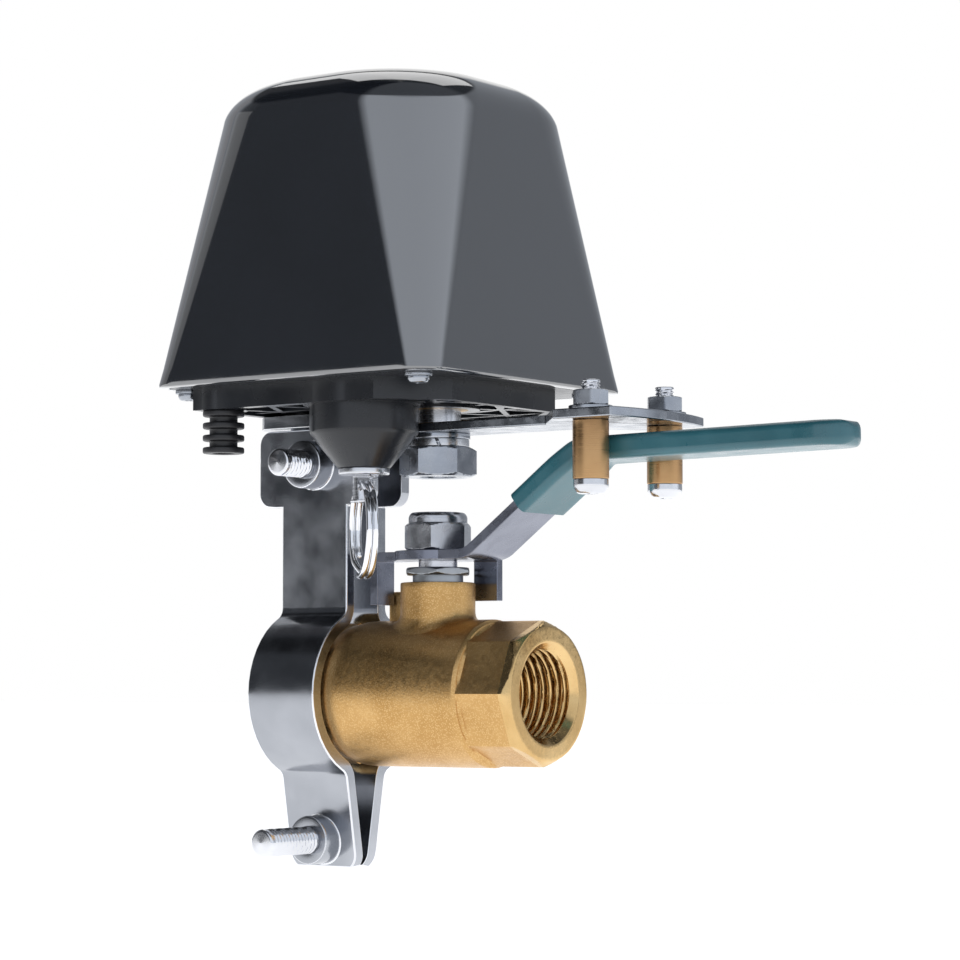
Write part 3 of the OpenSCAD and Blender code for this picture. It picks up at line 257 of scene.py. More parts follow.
FINISHES = {
    "head_plastic": head_gloss(),
    "base_plastic": plastic("base_plastic", (0.009, 0.01, 0.0125), (0.017, 0.019, 0.023), 0.27,
                            1900.0, 0.000015),
    "seal_rubber": plastic("seal_rubber", (0.03, 0.03, 0.034), (0.05, 0.05, 0.055), 0.8, 1500.0, 0.00006),
    "gland_rubber": plastic("gland_rubber", (0.006, 0.006, 0.008), (0.014, 0.014, 0.016), 0.42,
                            1300.0, 0.00003),
    "button_plastic": plastic("button_plastic", (0.03, 0.033, 0.037), (0.045, 0.05, 0.055), 0.4,
                              2200.0, 0.00001),
    "lens": lens_glass(),
    "board": circuit_green(),
    "board_parts": plastic("board_parts", (0.02, 0.02, 0.024), (0.04, 0.04, 0.045), 0.45, 1800.0, 0.00001),
    "switch_plastic": plastic("switch_plastic", (0.015, 0.015, 0.018), (0.03, 0.03, 0.033), 0.4,
                              1800.0, 0.00001),
    "motor_steel": metal("motor_steel", (0.48, 0.49, 0.51), (0.6, 0.61, 0.63), 0.32),
    "gearhead_metal": metal("gearhead_metal", (0.38, 0.39, 0.41), (0.5, 0.51, 0.53), 0.45, 1400.0, 0.00002),
    "pinion_brass": metal("pinion_brass", (0.66, 0.46, 0.18), (0.8, 0.58, 0.26), 0.28),
    "gear_plastic": plastic("gear_plastic", (0.7, 0.69, 0.64), (0.8, 0.79, 0.74), 0.38, 1500.0, 0.00001),
    "pin_steel": turned_metal("pin_steel", (0.62, 0.63, 0.66), (0.78, 0.79, 0.82), 0.2, (60.0, 60.0, 6000.0)),
    "spring_steel": metal("spring_steel", (0.46, 0.47, 0.5), (0.66, 0.68, 0.71), 0.26),
    "ring_chrome": metal("ring_chrome", (0.78, 0.79, 0.82), (0.9, 0.91, 0.93), 0.1, spread=0.04),
    "bush_bronze": metal("bush_bronze", (0.5, 0.33, 0.14), (0.62, 0.42, 0.2), 0.45),
    "zinc": metal("zinc", (0.31, 0.33, 0.365), (0.46, 0.485, 0.525), 0.24, 700.0, 0.00001, 90.0, 0.12),
    "sleeve_brass": turned_metal("sleeve_brass", (0.45, 0.26, 0.12), (0.56, 0.35, 0.17), 0.3,
                                 (50.0, 50.0, 5000.0)),
    "screw_chrome": metal("screw_chrome", (0.66, 0.67, 0.7), (0.84, 0.85, 0.88), 0.17),
    "bracket_nickel": metal("bracket_nickel", (0.33, 0.345, 0.375), (0.48, 0.495, 0.53), 0.2,
                            500.0, 0.00001, 40.0, 0.07),
    "valve_brass": blasted_brass(),
    "port_brass": machined_brass(),
    "ball_chrome": metal("ball_chrome", (0.8, 0.81, 0.84), (0.88, 0.89, 0.91), 0.08, spread=0.03),
    "seat_plastic": plastic("seat_plastic", (0.86, 0.85, 0.82), (0.92, 0.91, 0.88), 0.4, 1500.0, 0.00001),
    "gland_steel": metal("gland_steel", (0.32, 0.34, 0.36), (0.5, 0.52, 0.55), 0.38, 900.0, 0.00002),
    "lever_steel": metal("lever_steel", (0.18, 0.19, 0.235), (0.27, 0.285, 0.34), 0.26,
                         1100.0, 0.00002, 70.0, 0.1),
    "grip_vinyl": grip_vinyl(),
    "nut_chrome": metal("nut_chrome", (0.42, 0.43, 0.46), (0.6, 0.61, 0.64), 0.21, 800.0, 0.00001, 90.0),
}
# Paler metal for the bevels of the bracket plates: a painted edge highlight, not a different metal.
PAINTED_EDGE_HIGHLIGHT = metal("painted_edge_highlight", (0.74, 0.75, 0.78), (0.92, 0.93, 0.95), 0.2)

# ---------------------------------------------------------------- shaping tools


def smoothstep(low, high, value):
    """Rises softly from 0 at low to 1 at high."""
    t = min(1.0, max(0.0, (value - low) / (high - low)))
    return t * t * (3 - 2 * t)


def softened(points, radius, steps=4):
    """A closed outline whose corners are rounded by up to this radius; a corner on the axis stays."""
    made = []
    count = len(points)
    for i, point in enumerate(points):
        here = Vector(point[:2])
        own = point[2] if len(point) > 2 else radius
        back = Vector(points[i - 1][:2]) - here
        on = Vector(points[(i + 1) % count][:2]) - here
        cut = min(own, back.length * 0.45, on.length * 0.45)
        if here.x < 1e-6 or cut < 0.01:
            made.append(here)
            continue
        start, end = here + back.normalized() * cut, here + on.normalized() * cut
        for k in range(steps + 1):
            t = k / steps
            made.append(start * (1 - t) ** 2 + here * 2 * t * (1 - t) + end * t * t)
    return made


def ringed(points, step):
    """The same closed outline with no stretch longer than the step."""
    made = []
    for i, point in enumerate(points):
        end = points[(i + 1) % len(points)]
        parts = max(1, math.ceil((end - point).length / step))
        made += [point.lerp(end, k / parts) for k in range(parts)]
    return made


def spun(outline, steps=72):
    """A solid of revolution about Z from a closed outline of radius and height."""
    bm = bmesh.new()
    verts = [bm.verts.new((p[0], 0, p[1])) for p in outline]
    edges = [bm.edges.new((v, verts[(i + 1) % len(verts)])) for i, v in enumerate(verts)
             if v.co.x > 1e-6 or verts[(i + 1) % len(verts)].co.x > 1e-6]
    bmesh.ops.spin(bm, geom=verts + edges, cent=(0, 0, 0), axis=(0, 0, 1), dvec=(0, 0, 0),
                   angle=2 * math.pi, steps=steps, use_merge=True, use_duplicate=False)
    bmesh.ops.remove_doubles(bm, verts=bm.verts, dist=0.0004)
    bmesh.ops.delete(bm, geom=[v for v in bm.verts if not v.link_faces], context="VERTS")
    bmesh.ops.recalc_face_normals(bm, faces=bm.faces)
    return bm


def turned(outline, radius=0.15, steps=72, step=0.0):
    """Spins an outline whose corners are rounded, with extra rings at every step if there is one."""
    rounded = softened(outline, radius)
    return spun(ringed(rounded, step) if step else rounded, steps)


def to_polygon(bm, across, sides, corner, top=None):
    """Pulls what sticks out of a regular polygon in to its flats, with rounded corners at angle 0."""
    half = across / 2 - corner
    reach = half / math.cos(math.pi / sides)
    tangent = math.atan(half * math.tan(math.pi / sides) / (across / 2))
    for v in bm.verts:
        if top is not None and v.co.z > top:
            continue
        r = math.hypot(v.co.x, v.co.y)
        if r < 1e-6:
            continue
        turn = math.atan2(v.co.y, v.co.x) % (2 * math.pi / sides)
        off = min(turn, 2 * math.pi / sides - turn)
        from_flat = math.pi / sides - off
        if from_flat <= tangent:
            limit = across / 2 / math.cos(from_flat)
        else:
            limit = reach * math.cos(off) + math.sqrt(max(0, corner ** 2 - (reach * math.sin(off)) ** 2))
        if r > limit:
            v.co.x *= limit / r
            v.co.y *= limit / r
    return bm


def threaded(bm, crest, pitch, depth, start, end, inner=False):
    """Cuts a helical thread into the rings of a turned piece between two heights."""
    for v in bm.verts:
        r = math.hypot(v.co.x, v.co.y)
        if not start - 0.01 <= v.co.z <= end + 0.01 or abs(r - crest) > 0.05:
            continue
        phase = (v.co.z / pitch - math.atan2(v.co.y, v.co.x) / (2 * math.pi)) % 1.0
        groove = 1 - min(1.0, abs(2 * phase - 1) * 1.25)
        fade_in = smoothstep(start, start + pitch * 0.7, v.co.z)
        fade = fade_in * (1 - smoothstep(end - pitch * 0.7, end, v.co.z))
        cut = depth * groove * fade
        new_r = r + cut if inner else r - cut
        v.co.x *= new_r / r
        v.co.y *= new_r / r
    return bm


def turn(bm, degrees, axis="Z"):
    """Turns a mesh about an axis through the origin."""
    matrix = Matrix.Rotation(math.radians(degrees), 3, axis)
    bmesh.ops.rotate(bm, verts=bm.verts, cent=(0, 0, 0), matrix=matrix)
    return bm


def shift(bm, x=0.0, y=0.0, z=0.0):
    """Moves a mesh by so many millimetres."""
    bmesh.ops.translate(bm, verts=bm.verts, vec=(x, y, z))
    return bm


def block(x0, x1, y0, y1, z0, z1, soft=0.0):
    """A box between these bounds, with its edges rounded over."""
    bm = bmesh.new()
    bmesh.ops.create_cube(bm, size=1.0)
    bmesh.ops.scale(bm, vec=(x1 - x0, y1 - y0, z1 - z0), verts=bm.verts)
    shift(bm, (x0 + x1) / 2, (y0 + y1) / 2, (z0 + z1) / 2)
    if soft:
        bmesh.ops.bevel(bm, geom=bm.edges[:], offset=soft, offset_type="OFFSET", segments=3, profile=0.5,
                        affect="EDGES", material=-1)
    return bm


def together(parts):
    """Several meshes as one."""
    whole = bmesh.new()
    for part in parts:
        scrap = bpy.data.meshes.new("scrap")
        part.to_mesh(scrap)
        part.free()
        whole.from_mesh(scrap)
        bpy.data.meshes.remove(scrap)
    return whole


def shade(bm, angle=33.0):
    """Smooth faces, with sharp edges where two faces meet at more than this angle."""
    for face in bm.faces:
        face.smooth = True
    for edge in bm.edges:
        edge.smooth = not (len(edge.link_faces) == 2 and edge.calc_face_angle(0.0) > math.radians(angle))


def piece(bm, name, slot, nodes, body="head", angle=33.0, extra=None):
    """Makes a finished piece from a mesh in millimetres."""
    bmesh.ops.scale(bm, vec=(0.001, 0.001, 0.001), verts=bm.verts)
    shade(bm, angle)
    mesh = bpy.data.meshes.new(name)
    bm.to_mesh(mesh)
    bm.free()
    made = bpy.data.objects.new(name, mesh)
    bpy.context.scene.collection.objects.link(made)
    mesh.materials.append(FINISHES[slot].material)
    if extra:
        mesh.materials.append(extra.material)
    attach(made, body)
    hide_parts(*nodes)
    return made


def carved(bm, cutter):
    """The first solid with the second cut out of it."""
    objects = []
    for number, part in enumerate((bm, cutter)):
        mesh = bpy.data.meshes.new(f"carving_{number}")
        part.to_mesh(mesh)
        part.free()
        made = bpy.data.objects.new(f"carving_{number}", mesh)
        bpy.context.scene.collection.objects.link(made)
        objects.append(made)
    cut = objects[0].modifiers.new("cut", "BOOLEAN")
    cut.operation = "DIFFERENCE"
    cut.solver = "EXACT"
    cut.object = objects[1]
    bpy.context.view_layer.update()
    result = objects[0].evaluated_get(bpy.context.evaluated_depsgraph_get()).to_mesh()
    made = bmesh.new()
    made.from_mesh(result)
    for old in objects:
        data = old.data
        bpy.data.objects.remove(old)
        bpy.data.meshes.remove(data)
    return made


def softened_copy(node, name, slot, body="head", width=0.25, sharp=30.0, extra=None, segments=3):
    """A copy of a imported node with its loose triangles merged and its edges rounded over."""
    bm = bmesh.new()
    bm.from_mesh(frame["nodes"][node].data)
    bmesh.ops.remove_doubles(bm, verts=bm.verts, dist=0.000003)
    bmesh.ops.dissolve_limit(bm, angle_limit=math.radians(1.0), verts=bm.verts, edges=bm.edges)
    bmesh.ops.scale(bm, vec=(1000, 1000, 1000), verts=bm.verts)
    made = piece(bm, name, slot, [node], body, sharp, extra)
    soft = made.modifiers.new("edges", "BEVEL")
    soft.width = width * 0.001
    soft.segments = segments
    soft.limit_method = "ANGLE"
    soft.angle_limit = math.radians(sharp)
    soft.harden_normals = True
    # The extra finish goes on the bevels; for the bracket plates it is a paler metal, a painted edge
    # highlight.
    if extra:
        soft.material = 1
    return made


def swept(path, radius, sides=16, taper=0):
    """A round wire along a list of points, thinned over its last few points and closed at both ends."""
    data = bpy.data.curves.new("wire", "CURVE")
    data.dimensions = "3D"
    data.bevel_depth = radius
    data.bevel_resolution = sides // 4 - 1
    data.use_fill_caps = True
    line = data.splines.new("POLY")
    line.points.add(len(path) - 1)
    for i, (point, where) in enumerate(zip(line.points, path)):
        near_end = min(i, len(path) - 1 - i)
        point.co = (*where, 1)
        point.radius = math.sqrt(max(0.1, 1 - (1 - near_end / taper) ** 2)) if near_end < taper else 1.0
    made = bpy.data.objects.new("wire", data)
    bpy.context.scene.collection.objects.link(made)
    bpy.context.view_layer.update()
    bm = bmesh.new()
    bm.from_mesh(made.evaluated_get(bpy.context.evaluated_depsgraph_get()).to_mesh())
    bpy.data.objects.remove(made)
    bpy.data.curves.remove(data)
    bmesh.ops.remove_doubles(bm, verts=bm.verts, dist=0.001)
    bmesh.ops.recalc_face_normals(bm, faces=bm.faces)
    return bm


def lofted(sections):
    """Skins a list of equal rings of points, closed at both ends."""
    bm = bmesh.new()
    count = len(sections[0])
    ring = bmesh.ops.create_circle(bm, segments=count, radius=1.0)["verts"]
    first = ring
    for i, section in enumerate(sections):
        if i:
            edges = [bm.edges.get((ring[k], ring[(k + 1) % count])) for k in range(count)]
            grown = bmesh.ops.extrude_edge_only(bm, edges=edges)["geom"]
            new = {g for g in grown if isinstance(g, bmesh.types.BMVert)}
            ring = [next(e.other_vert(v) for e in v.link_edges if e.other_vert(v) in new) for v in ring]
        for v, point in zip(ring, section):
            v.co = point
    for rim in (first, ring):
        bmesh.ops.contextual_create(bm, geom=rim)
    bmesh.ops.recalc_face_normals(bm, faces=bm.faces)
    return bm


def hex_outline(bore, across, low, high):
    """Half section of a nut whose corners are turned down to a cone at both ends."""
    corner = across / math.sqrt(3)
    cut = (corner - across / 2) * 0.6
    return [(bore, low), (across / 2 - 0.15, low), (corner, low + cut), (corner, high - cut),
            (across / 2 - 0.15, high), (bore, high)]


def nut(bore, across, low, high, turned_by):
    """A plain hexagon nut, or a bolt's head where the bore is 0."""
    bm = turned(hex_outline(bore, across, low, high), 0.12, 96, 0.45)
    return turn(to_polygon(bm, across, 6, 0.3), turned_by)


def cross_recess(bm, width, reach, low, high, turned_by=0.0):
    """Cuts two crossed wedges into a screw head that faces down."""
    for angle in (0, 90):
        wedge = block(-reach, reach, -width / 2, width / 2, low - 0.5, high)
        for v in wedge.verts:
            if v.co.z > low:
                v.co.x *= 0.55
        bm = carved(bm, turn(wedge, angle + turned_by))
    return bm


def pan_screw(shank_r, head_r, head_low, head_high, tip, pitch, depth, thread_from, turned_by):
    """A cross-recess screw with its head down."""
    head_h = head_high - head_low
    outline = [(0, head_low), (head_r * 0.78, head_low, 0.7), (head_r, head_low + head_h * 0.45, 0.5),
               (head_r, head_high, 0.15), (shank_r, head_high, 0.05), (shank_r, tip, 0.35), (0, tip)]
    bm = spun(ringed(softened(outline, 0.1), 0.12 if depth else 1.5), 48)
    if depth:
        threaded(bm, shank_r, pitch, depth, thread_from, tip - 0.3)
    return cross_recess(bm, head_r * 0.23, head_r * 0.55, head_low, head_low + head_h * 0.5, turned_by)


# ---------------------------------------------------------------- cover


def cover_ring(half, corner, z):
    """One level of the cover: a square with round corners, dense near the corners."""
    centre = half - corner
    points = []
    for quarter in range(4):
        start = math.radians(90 * quarter)
        cx, cy = ((centre, centre), (-centre, centre), (-centre, -centre), (centre, -centre))[quarter]
        for k in range(15):
            a = start + math.radians(90) * k / 14
            points.append((HEAD_X + cx + corner * math.cos(a), cy + corner * math.sin(a), z))
        ax, ay = points[-1][:2]
        nx, ny = ((-centre, half), (-half, -centre), (centre, -half), (half, centre))[quarter]
        for share in (0.02, 0.06, 0.25, 0.5, 0.75, 0.94, 0.98):
            points.append((ax + (nx + HEAD_X - ax) * share, ay + (ny - ay) * share, z))
    return points


def cover_levels(wall):
    """Half width, corner radius and height of the cover's skin, from the rim to the crown."""
    levels = []
    for k in range(15):
        t = k / 14
        corner = RIM_CORNER + (SHOULDER_CORNER - RIM_CORNER) * t
        levels.append((COVER_HALF - COVER_LEAN * t - wall, corner - wall,
                       COVER_Z + COVER_SIDE * t - (wall if k == 14 else 0)))
    shoulder_half, shoulder_z = COVER_HALF - COVER_LEAN - wall, COVER_Z + COVER_SIDE - wall
    for a in range(6, 73, 6):
        sine, cosine = math.sin(math.radians(a)), math.cos(math.radians(a))
        levels.append((shoulder_half - SHOULDER_R * (1 - cosine) - SHOULDER_EASE * sine,
                       SHOULDER_CORNER - wall, shoulder_z + SHOULDER_R * sine))
    edge_half, edge_corner, edge_z = levels[-1]
    rise = CROWN_Z - wall - edge_z
    for k in range(1, 15):
        half = edge_half * (1 - k / 15) + 0.35
        share = half / edge_half
        round_share = edge_corner / edge_half + (1 - edge_corner / edge_half) * (1 - share)
        levels.append((half, half * min(round_share, 0.999), edge_z + rise * (1 - share ** 2)))
    return levels


def make_cover():
    """The shell with its sealing ledge, its side panel and its screw bosses."""
    inner = [level for level in cover_levels(COVER_WALL) if level[2] > LEDGE_Z + 0.4]
    ledge = [(COVER_HALF - 0.35 - COVER_WALL, 3.0, LEDGE_Z)]
    for inset, rise in ((2.4, LEDGE_Z - COVER_Z), (2.4, 0.4), (2.1, 0.0), (0.7, 0.0), (0.2, 0.2)):
        ledge.append((COVER_HALF - inset, RIM_CORNER - inset, COVER_Z + rise))
    ledge.append((COVER_HALF - 0.06, 5.95, COVER_Z + 0.7))
    levels = list(reversed(inner)) + ledge + cover_levels(0.0)[1:]
    bm = lofted([cover_ring(*level) for level in levels])
    lean = math.atan(COVER_LEAN / COVER_SIDE)
    panel_x, panel_z = PANEL

    def on_panel(part):
        """Leans a part with the wall and moves it to the side panel."""
        return shift(turn(part, math.degrees(lean), "Y"), panel_x, 0, panel_z)

    button_hole = turn(turned([(0, -2), (3.3, -2), (3.3, 9), (0, 9)], 0.0, 48), 90, "Y")
    cutters = [on_panel(block(-3, 0.9, -15.5, 15.5, -7, 7, 0.6)),
               on_panel(block(0.5, 8, -4, 12, -3.5, 3.5)),
               shift(button_hole, panel_x, BUTTON_Y, panel_z)]
    for cutter in cutters:
        bm = carved(bm, cutter)
    bosses = [bm]
    for x, y in COVER_SCREWS:
        boss = turned([(1.42, 67.7), (1.9, 67.7), (1.9, 76), (1.42, 76)], 0.1, 32)
        bosses.append(shift(boss, HEAD_X + x, y))
    piece(together(bosses), "cover_shell", "head_plastic", ["cover"], angle=38)
    lens = on_panel(block(0.7, 3.1, -3.95, 11.95, -3.45, 3.45, 0.3))
    piece(lens, "indicator_window", "lens", ["indicator_lens"])
    button = turned([(0, -0.3), (3, -0.3, 0.5), (3, 4.3, 0.1), (3.6, 4.3), (3.6, 4.8), (0, 4.8)], 0.15, 48)
    piece(shift(turn(button, 90, "Y"), panel_x, BUTTON_Y, panel_z), "side_push_button", "button_plastic",
          ["side_button"], "button")


make_cover()

# ---------------------------------------------------------------- base, clutch and gland

softened_copy("base_plate", "moulded_base", "base_plastic", width=0.3)
softened_copy("cover_seal", "cover_seal_strip", "seal_rubber", width=0.2)

housing = turned([(3.5, CONE_END_Z), (5.5, CONE_END_Z, 0.4), (11.5, CONE_MID_Z, 0.5), (11.5, FLOOR_Z),
                  (6.9, FLOOR_Z), (6.9, CONE_MID_Z), (3.5, CONE_MID_Z)], 0.2, 96)
piece(shift(housing, *CLUTCH), "clutch_cup", "base_plastic", ["clutch_housing"])
bush = turned([(2.05, 45.8), (5.4, 45.8, 0.4), (5.4, CONE_END_Z, 0.3), (3.5, CONE_END_Z),
               (3.5, CONE_MID_Z), (2.05, CONE_MID_Z)], 0.15, 72)
piece(shift(bush, *CLUTCH), "clutch_pin_bush", "pin_steel", ["clutch_bush"])
pin = turned([(0, 40), (2.9, 40, 0.25), (2.9, 40.6, 0.2), (2.4, 40.6), (2.4, 45.6, 0.3), (2, 45.6),
              (2, 96, 0.5), (0, 96)], 0.1, 64)
pin = carved(pin, turn(block(-5, 5, -1.66, 1.66, 42.4, 45.4, 0.4), RING_TURN))
piece(shift(pin, *CLUTCH), "clutch_pull_pin", "pin_steel", ["clutch_pin"], "pull_pin")


def split_ring():
    """Two turns of wire side by side, crossing over once between their ends."""
    along = Vector((math.cos(math.radians(RING_TURN)), math.sin(math.radians(RING_TURN)), 0))
    normal = Vector((-along.y, along.x, 0))
    centre, middle_r, wire_r = Vector((*CLUTCH, 34.3)), 9.7, 0.69
    path = []
    for k in range(0, 273):
        t = 20 + k * 2.5
        side = 0.67 * (2 * smoothstep(340, 380, t) - 1)
        a = math.radians(t + 235)
        round_ring = along * (middle_r * math.cos(a)) + Vector((0, 0, middle_r * math.sin(a)))
        path.append(centre + round_ring + normal * side)
    return swept(path, wire_r, 16, 3)


piece(split_ring(), "split_pull_ring", "ring_chrome", ["pull_ring"], "ring_pull", angle=60)


def clutch_coil():
    """The clutch spring, its end turns closer together than its middle ones."""
    turns, steps, coil_r, low, rise = 7, 32, 4.5, 54.86, 14.75
    path = []
    for k in range(0, turns * steps + 1):
        a = 2 * math.pi * k / steps
        share = k / (turns * steps)
        climb = smoothstep(0, 1, share) * 0.35 + share * 0.65
        path.append(Vector((CLUTCH[0] + coil_r * math.cos(a), CLUTCH[1] + coil_r * math.sin(a),
                            low + rise * climb)))
    return swept(path, 0.34, 10, 2)


coil = piece(clutch_coil(), "clutch_coil_spring", "spring_steel", ["clutch_spring"], angle=60)
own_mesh(coil)

GLAND_Z, RIB_PITCH, RIB_R = 51.3, 2.63, 4.45
gland_outline = [(2.2, GLAND_Z), (RIB_R, GLAND_Z)]
for rib in range(4):
    low = GLAND_Z + RIB_PITCH * rib
    gland_outline += [(RIB_R, low)] * (rib > 0) + [(RIB_R, low + 1.31), (3.0, low + 1.31)]
    if rib < 3:
        gland_outline.append((3.0, low + RIB_PITCH))
gland_outline += [(3.0, FLOOR_Z), (3.4, FLOOR_Z), (3.4, 69), (2.2, 69)]
gland = shift(turned(gland_outline, 0.4, 72), *GLAND)
piece(gland, "cable_grommet", "gland_rubber", ["cable_gland"], angle=50)

cover_screws, washers = [], []
WASHER_Z = COVER_Z - 0.7
for x, y in COVER_SCREWS:
    screw = pan_screw(1.4, 2.3, 63.0, WASHER_Z, 73.4, 0.5, 0.0, 65, 25 + x)
    cover_screws.append(shift(screw, HEAD_X + x, y))
    washer = turned([(1.5, WASHER_Z), (2.9, WASHER_Z), (2.9, COVER_Z), (1.5, COVER_Z)], 0.12, 48)
    washers.append(shift(washer, HEAD_X + x, y))
piece(together(cover_screws), "cover_fixing_screws", "zinc", ["cover_screws"])
piece(together(washers), "cover_screw_washers", "zinc", ["cover_washers"])

# ---------------------------------------------------------------- drive arm

softened_copy("drive_arm", "drive_arm_plate", "zinc", "drive", 0.3)
ARM_LOW, ARM_HIGH = 55.3, 57.3
FLAT_LOW, LOCK_LOW, NUT_LOW = 54.1, 52.42, 46.1
SHAFT_R, SHAFT_THREAD_R = 4.9, 4.0
shaft = turned([(0, 46.4), (SHAFT_THREAD_R, 46.4, 0.5), (SHAFT_THREAD_R, ARM_HIGH), (SHAFT_R, ARM_HIGH),
                (SHAFT_R, 71), (4, 71), (4, 88.3), (3, 88.3), (3, 91), (0, 91)], 0.1, 72, 0.14)
threaded(shaft, SHAFT_THREAD_R, 1.25, 0.55, 46.9, 55)
piece(shaft, "output_shaft_turned", "pin_steel", ["output_shaft"], "drive")
flat_washer = turned([(4.05, FLAT_LOW), (6.9, FLAT_LOW), (6.9, ARM_LOW), (4.05, ARM_LOW)], 0.25, 96)
piece(flat_washer, "arm_flat_washer", "zinc", ["arm_washer"], "drive")
LOCK_HIGH = FLAT_LOW - 0.02
lock = turned([(4.05, LOCK_LOW), (6.7, LOCK_LOW), (6.7, LOCK_HIGH), (4.05, LOCK_HIGH)], 0.2, 96)
gap = block(2, 12, -0.35, 0.35, -3, 3)
lock = carved(lock, turn(shift(turn(gap, 24, "X"), 0, 0, 53.3), -54))
piece(lock, "arm_spring_washer", "spring_steel", ["arm_lock_washer"], "drive")
piece(nut(3.95, 14.4, NUT_LOW, 52.4, -24), "arm_hex_nut", "zinc", ["arm_nut"], "drive")

sleeves, screws, rings, nuts = [], [], [], []
SLEEVE_LOW, RING_HIGH = 43.3, 58.2
for x, y in SLEEVES:
    sleeve = turned([(2.1, SLEEVE_LOW), (3.7, SLEEVE_LOW), (3.7, ARM_LOW), (2.1, ARM_LOW)], 0.25, 72)
    sleeves.append(shift(sleeve, x, y))
    screws.append(shift(pan_screw(1.95, 3.6, 40.3, SLEEVE_LOW, 63.5, 0.7, 0.33, 57.4, 10), x, y))
    ring = turned([(2.0, ARM_HIGH), (4.5, ARM_HIGH), (4.5, RING_HIGH), (2.0, RING_HIGH)], 0.2, 72)
    rings.append(shift(ring, x, y))
    nuts.append(shift(nut(1.9, 7, RING_HIGH, 61.4, 6), x, y))
piece(together(sleeves), "lever_sleeve_tubes", "sleeve_brass", ["lever_sleeves"], "drive")
piece(together(screws), "sleeve_pan_screws", "screw_chrome", ["sleeve_screws"], "drive")
piece(together(rings), "sleeve_flat_washers", "zinc", ["sleeve_washers"], "drive")
piece(together(nuts), "sleeve_hex_nuts", "zinc", ["sleeve_nuts"], "drive")

# ---------------------------------------------------------------- bracket

# The rounded edges of both plates get the paler metal: a painted edge highlight.
softened_copy("clamp_jaw", "front_clamp_jaw", "bracket_nickel", width=0.35, extra=PAINTED_EDGE_HIGHLIGHT)
softened_copy("bracket_frame", "bracket_plate_frame", "bracket_nickel", width=0.35, extra=PAINTED_EDGE_HIGHLIGHT)
UPPER_BOLT_Z, LOWER_BOLT_Z, BOLT_R = 49.5, -31.5, 2.95
collars = []
for z, low, high in ((UPPER_BOLT_Z, 6.9, 11.42), (LOWER_BOLT_Z, 4.3, 8.86)):
    collar = turn(turned([(3.0, low), (5.23, low), (5.23, high, 0.5), (3.0, high)], 0.1, 72), 90, "X")
    collars.append(shift(collar, CLAMP_X, 0, z))
piece(together(collars), "jaw_bosses", "bracket_nickel", [])


def clamp_bolt(name, node, z, head_y, tip_y):
    """A machine bolt through both plates, its tip towards -Y."""
    outline = [(0, -head_y - 1), (BOLT_R, -head_y - 1), (BOLT_R, -tip_y - 0.2, 0.6), (0, -tip_y)]
    bolt = turned(outline, 0.5, 72, 0.12)
    threaded(bolt, BOLT_R, 1.0, 0.5, -head_y + 1, -tip_y - 0.9)
    head = nut(0.0, 10, -head_y - 4, -head_y, 30)
    piece(shift(turn(together([bolt, head]), 90, "X"), CLAMP_X, 0, z), name, "screw_chrome", [node])


clamp_bolt("clamp_bolt_upper", "upper_clamp_bolt", UPPER_BOLT_Z, 6.8, -19.6)
clamp_bolt("clamp_bolt_lower", "lower_clamp_bolt", LOWER_BOLT_Z, 5.338, -24.4)
bracket_screws = []
for x in (CLAMP_X - 8, CLAMP_X + 9):
    bracket_screws.append(shift(pan_screw(1.95, 3.4, 55.4, 57.7, 67.1, 0.7, 0.0, 58, 20 + x), x))
piece(together(bracket_screws), "bracket_pan_screws", "zinc", ["bracket_screws"])

# ---------------------------------------------------------------- valve

PORT_X, MOUTH_R, MINOR_R, PASSAGE_R = 28.8, 10.75, 9.315, 6.5
BARREL_R, NECK_R, SPIGOT_R, SEAT_END, JOINT = 15.6, 8.0, 12, 11.2, 21
THREAD_END = PORT_X - 14.435
OCTAGON_FLATS = 2 * 15.3 * math.cos(math.pi / 8)


def octagon_reach(angle):
    """Distance from the pipe axis to the octagon's softly rounded outline."""
    corner = 1.0
    half = OCTAGON_FLATS / 2 - corner
    off = abs((angle + math.pi / 8) % (math.pi / 4) - math.pi / 8)
    from_flat = math.pi / 8 - off
    if math.tan(from_flat) * OCTAGON_FLATS / 2 <= half * math.tan(math.pi / 8):
        return OCTAGON_FLATS / 2 / math.cos(from_flat)
    reach = half / math.cos(math.pi / 8)
    return reach * math.cos(off) + math.sqrt(max(0, corner ** 2 - (reach * math.sin(off)) ** 2))


def port_section():
    """The machined end, from the outer cone to the bottom of the threads."""
    return [(16.3, PORT_X - 2.4, 0.1), (13.9, PORT_X, 0.2), (MOUTH_R, PORT_X, 0.15),
            (MINOR_R, PORT_X - MOUTH_R + MINOR_R, 0.1), (MINOR_R, THREAD_END, 0.1),
            (PASSAGE_R, THREAD_END, 0.1)]


def port_end(outline):
    """Spins an outline, with rings fine enough for the threads where it has the minor radius."""
    fine = ringed(softened(outline, 0.15), 0.5)
    dense = []
    for i, point in enumerate(fine):
        on = fine[(i + 1) % len(fine)]
        in_thread = abs(point.x - MINOR_R) < 0.02 and abs(on.x - MINOR_R) < 0.02
        dense += ringed([point, on], 0.16)[:-1] if in_thread else [point]
    return spun(dense, 144)


def cut_threads(bm):
    """The pipe thread inside a port."""
    return threaded(bm, MINOR_R, PIPE_PITCH, 1.1, PORT_X - 14.2, PORT_X - 1.0, inner=True)


def machined_faces(bm):
    """Marks the faces that the tool cut: the port's face, mouth and threads."""
    for face in bm.faces:
        middle = face.calc_center_median()
        r = math.hypot(middle.x, middle.y)
        if r < 10.9 and middle.z > PORT_X - 14.5 or r < 13.95 and middle.z > PORT_X - 0.12 \
                or middle.z > PORT_X - 2.4 and abs(face.normal.z) > 0.6:
            face.material_index = 1
    return bm


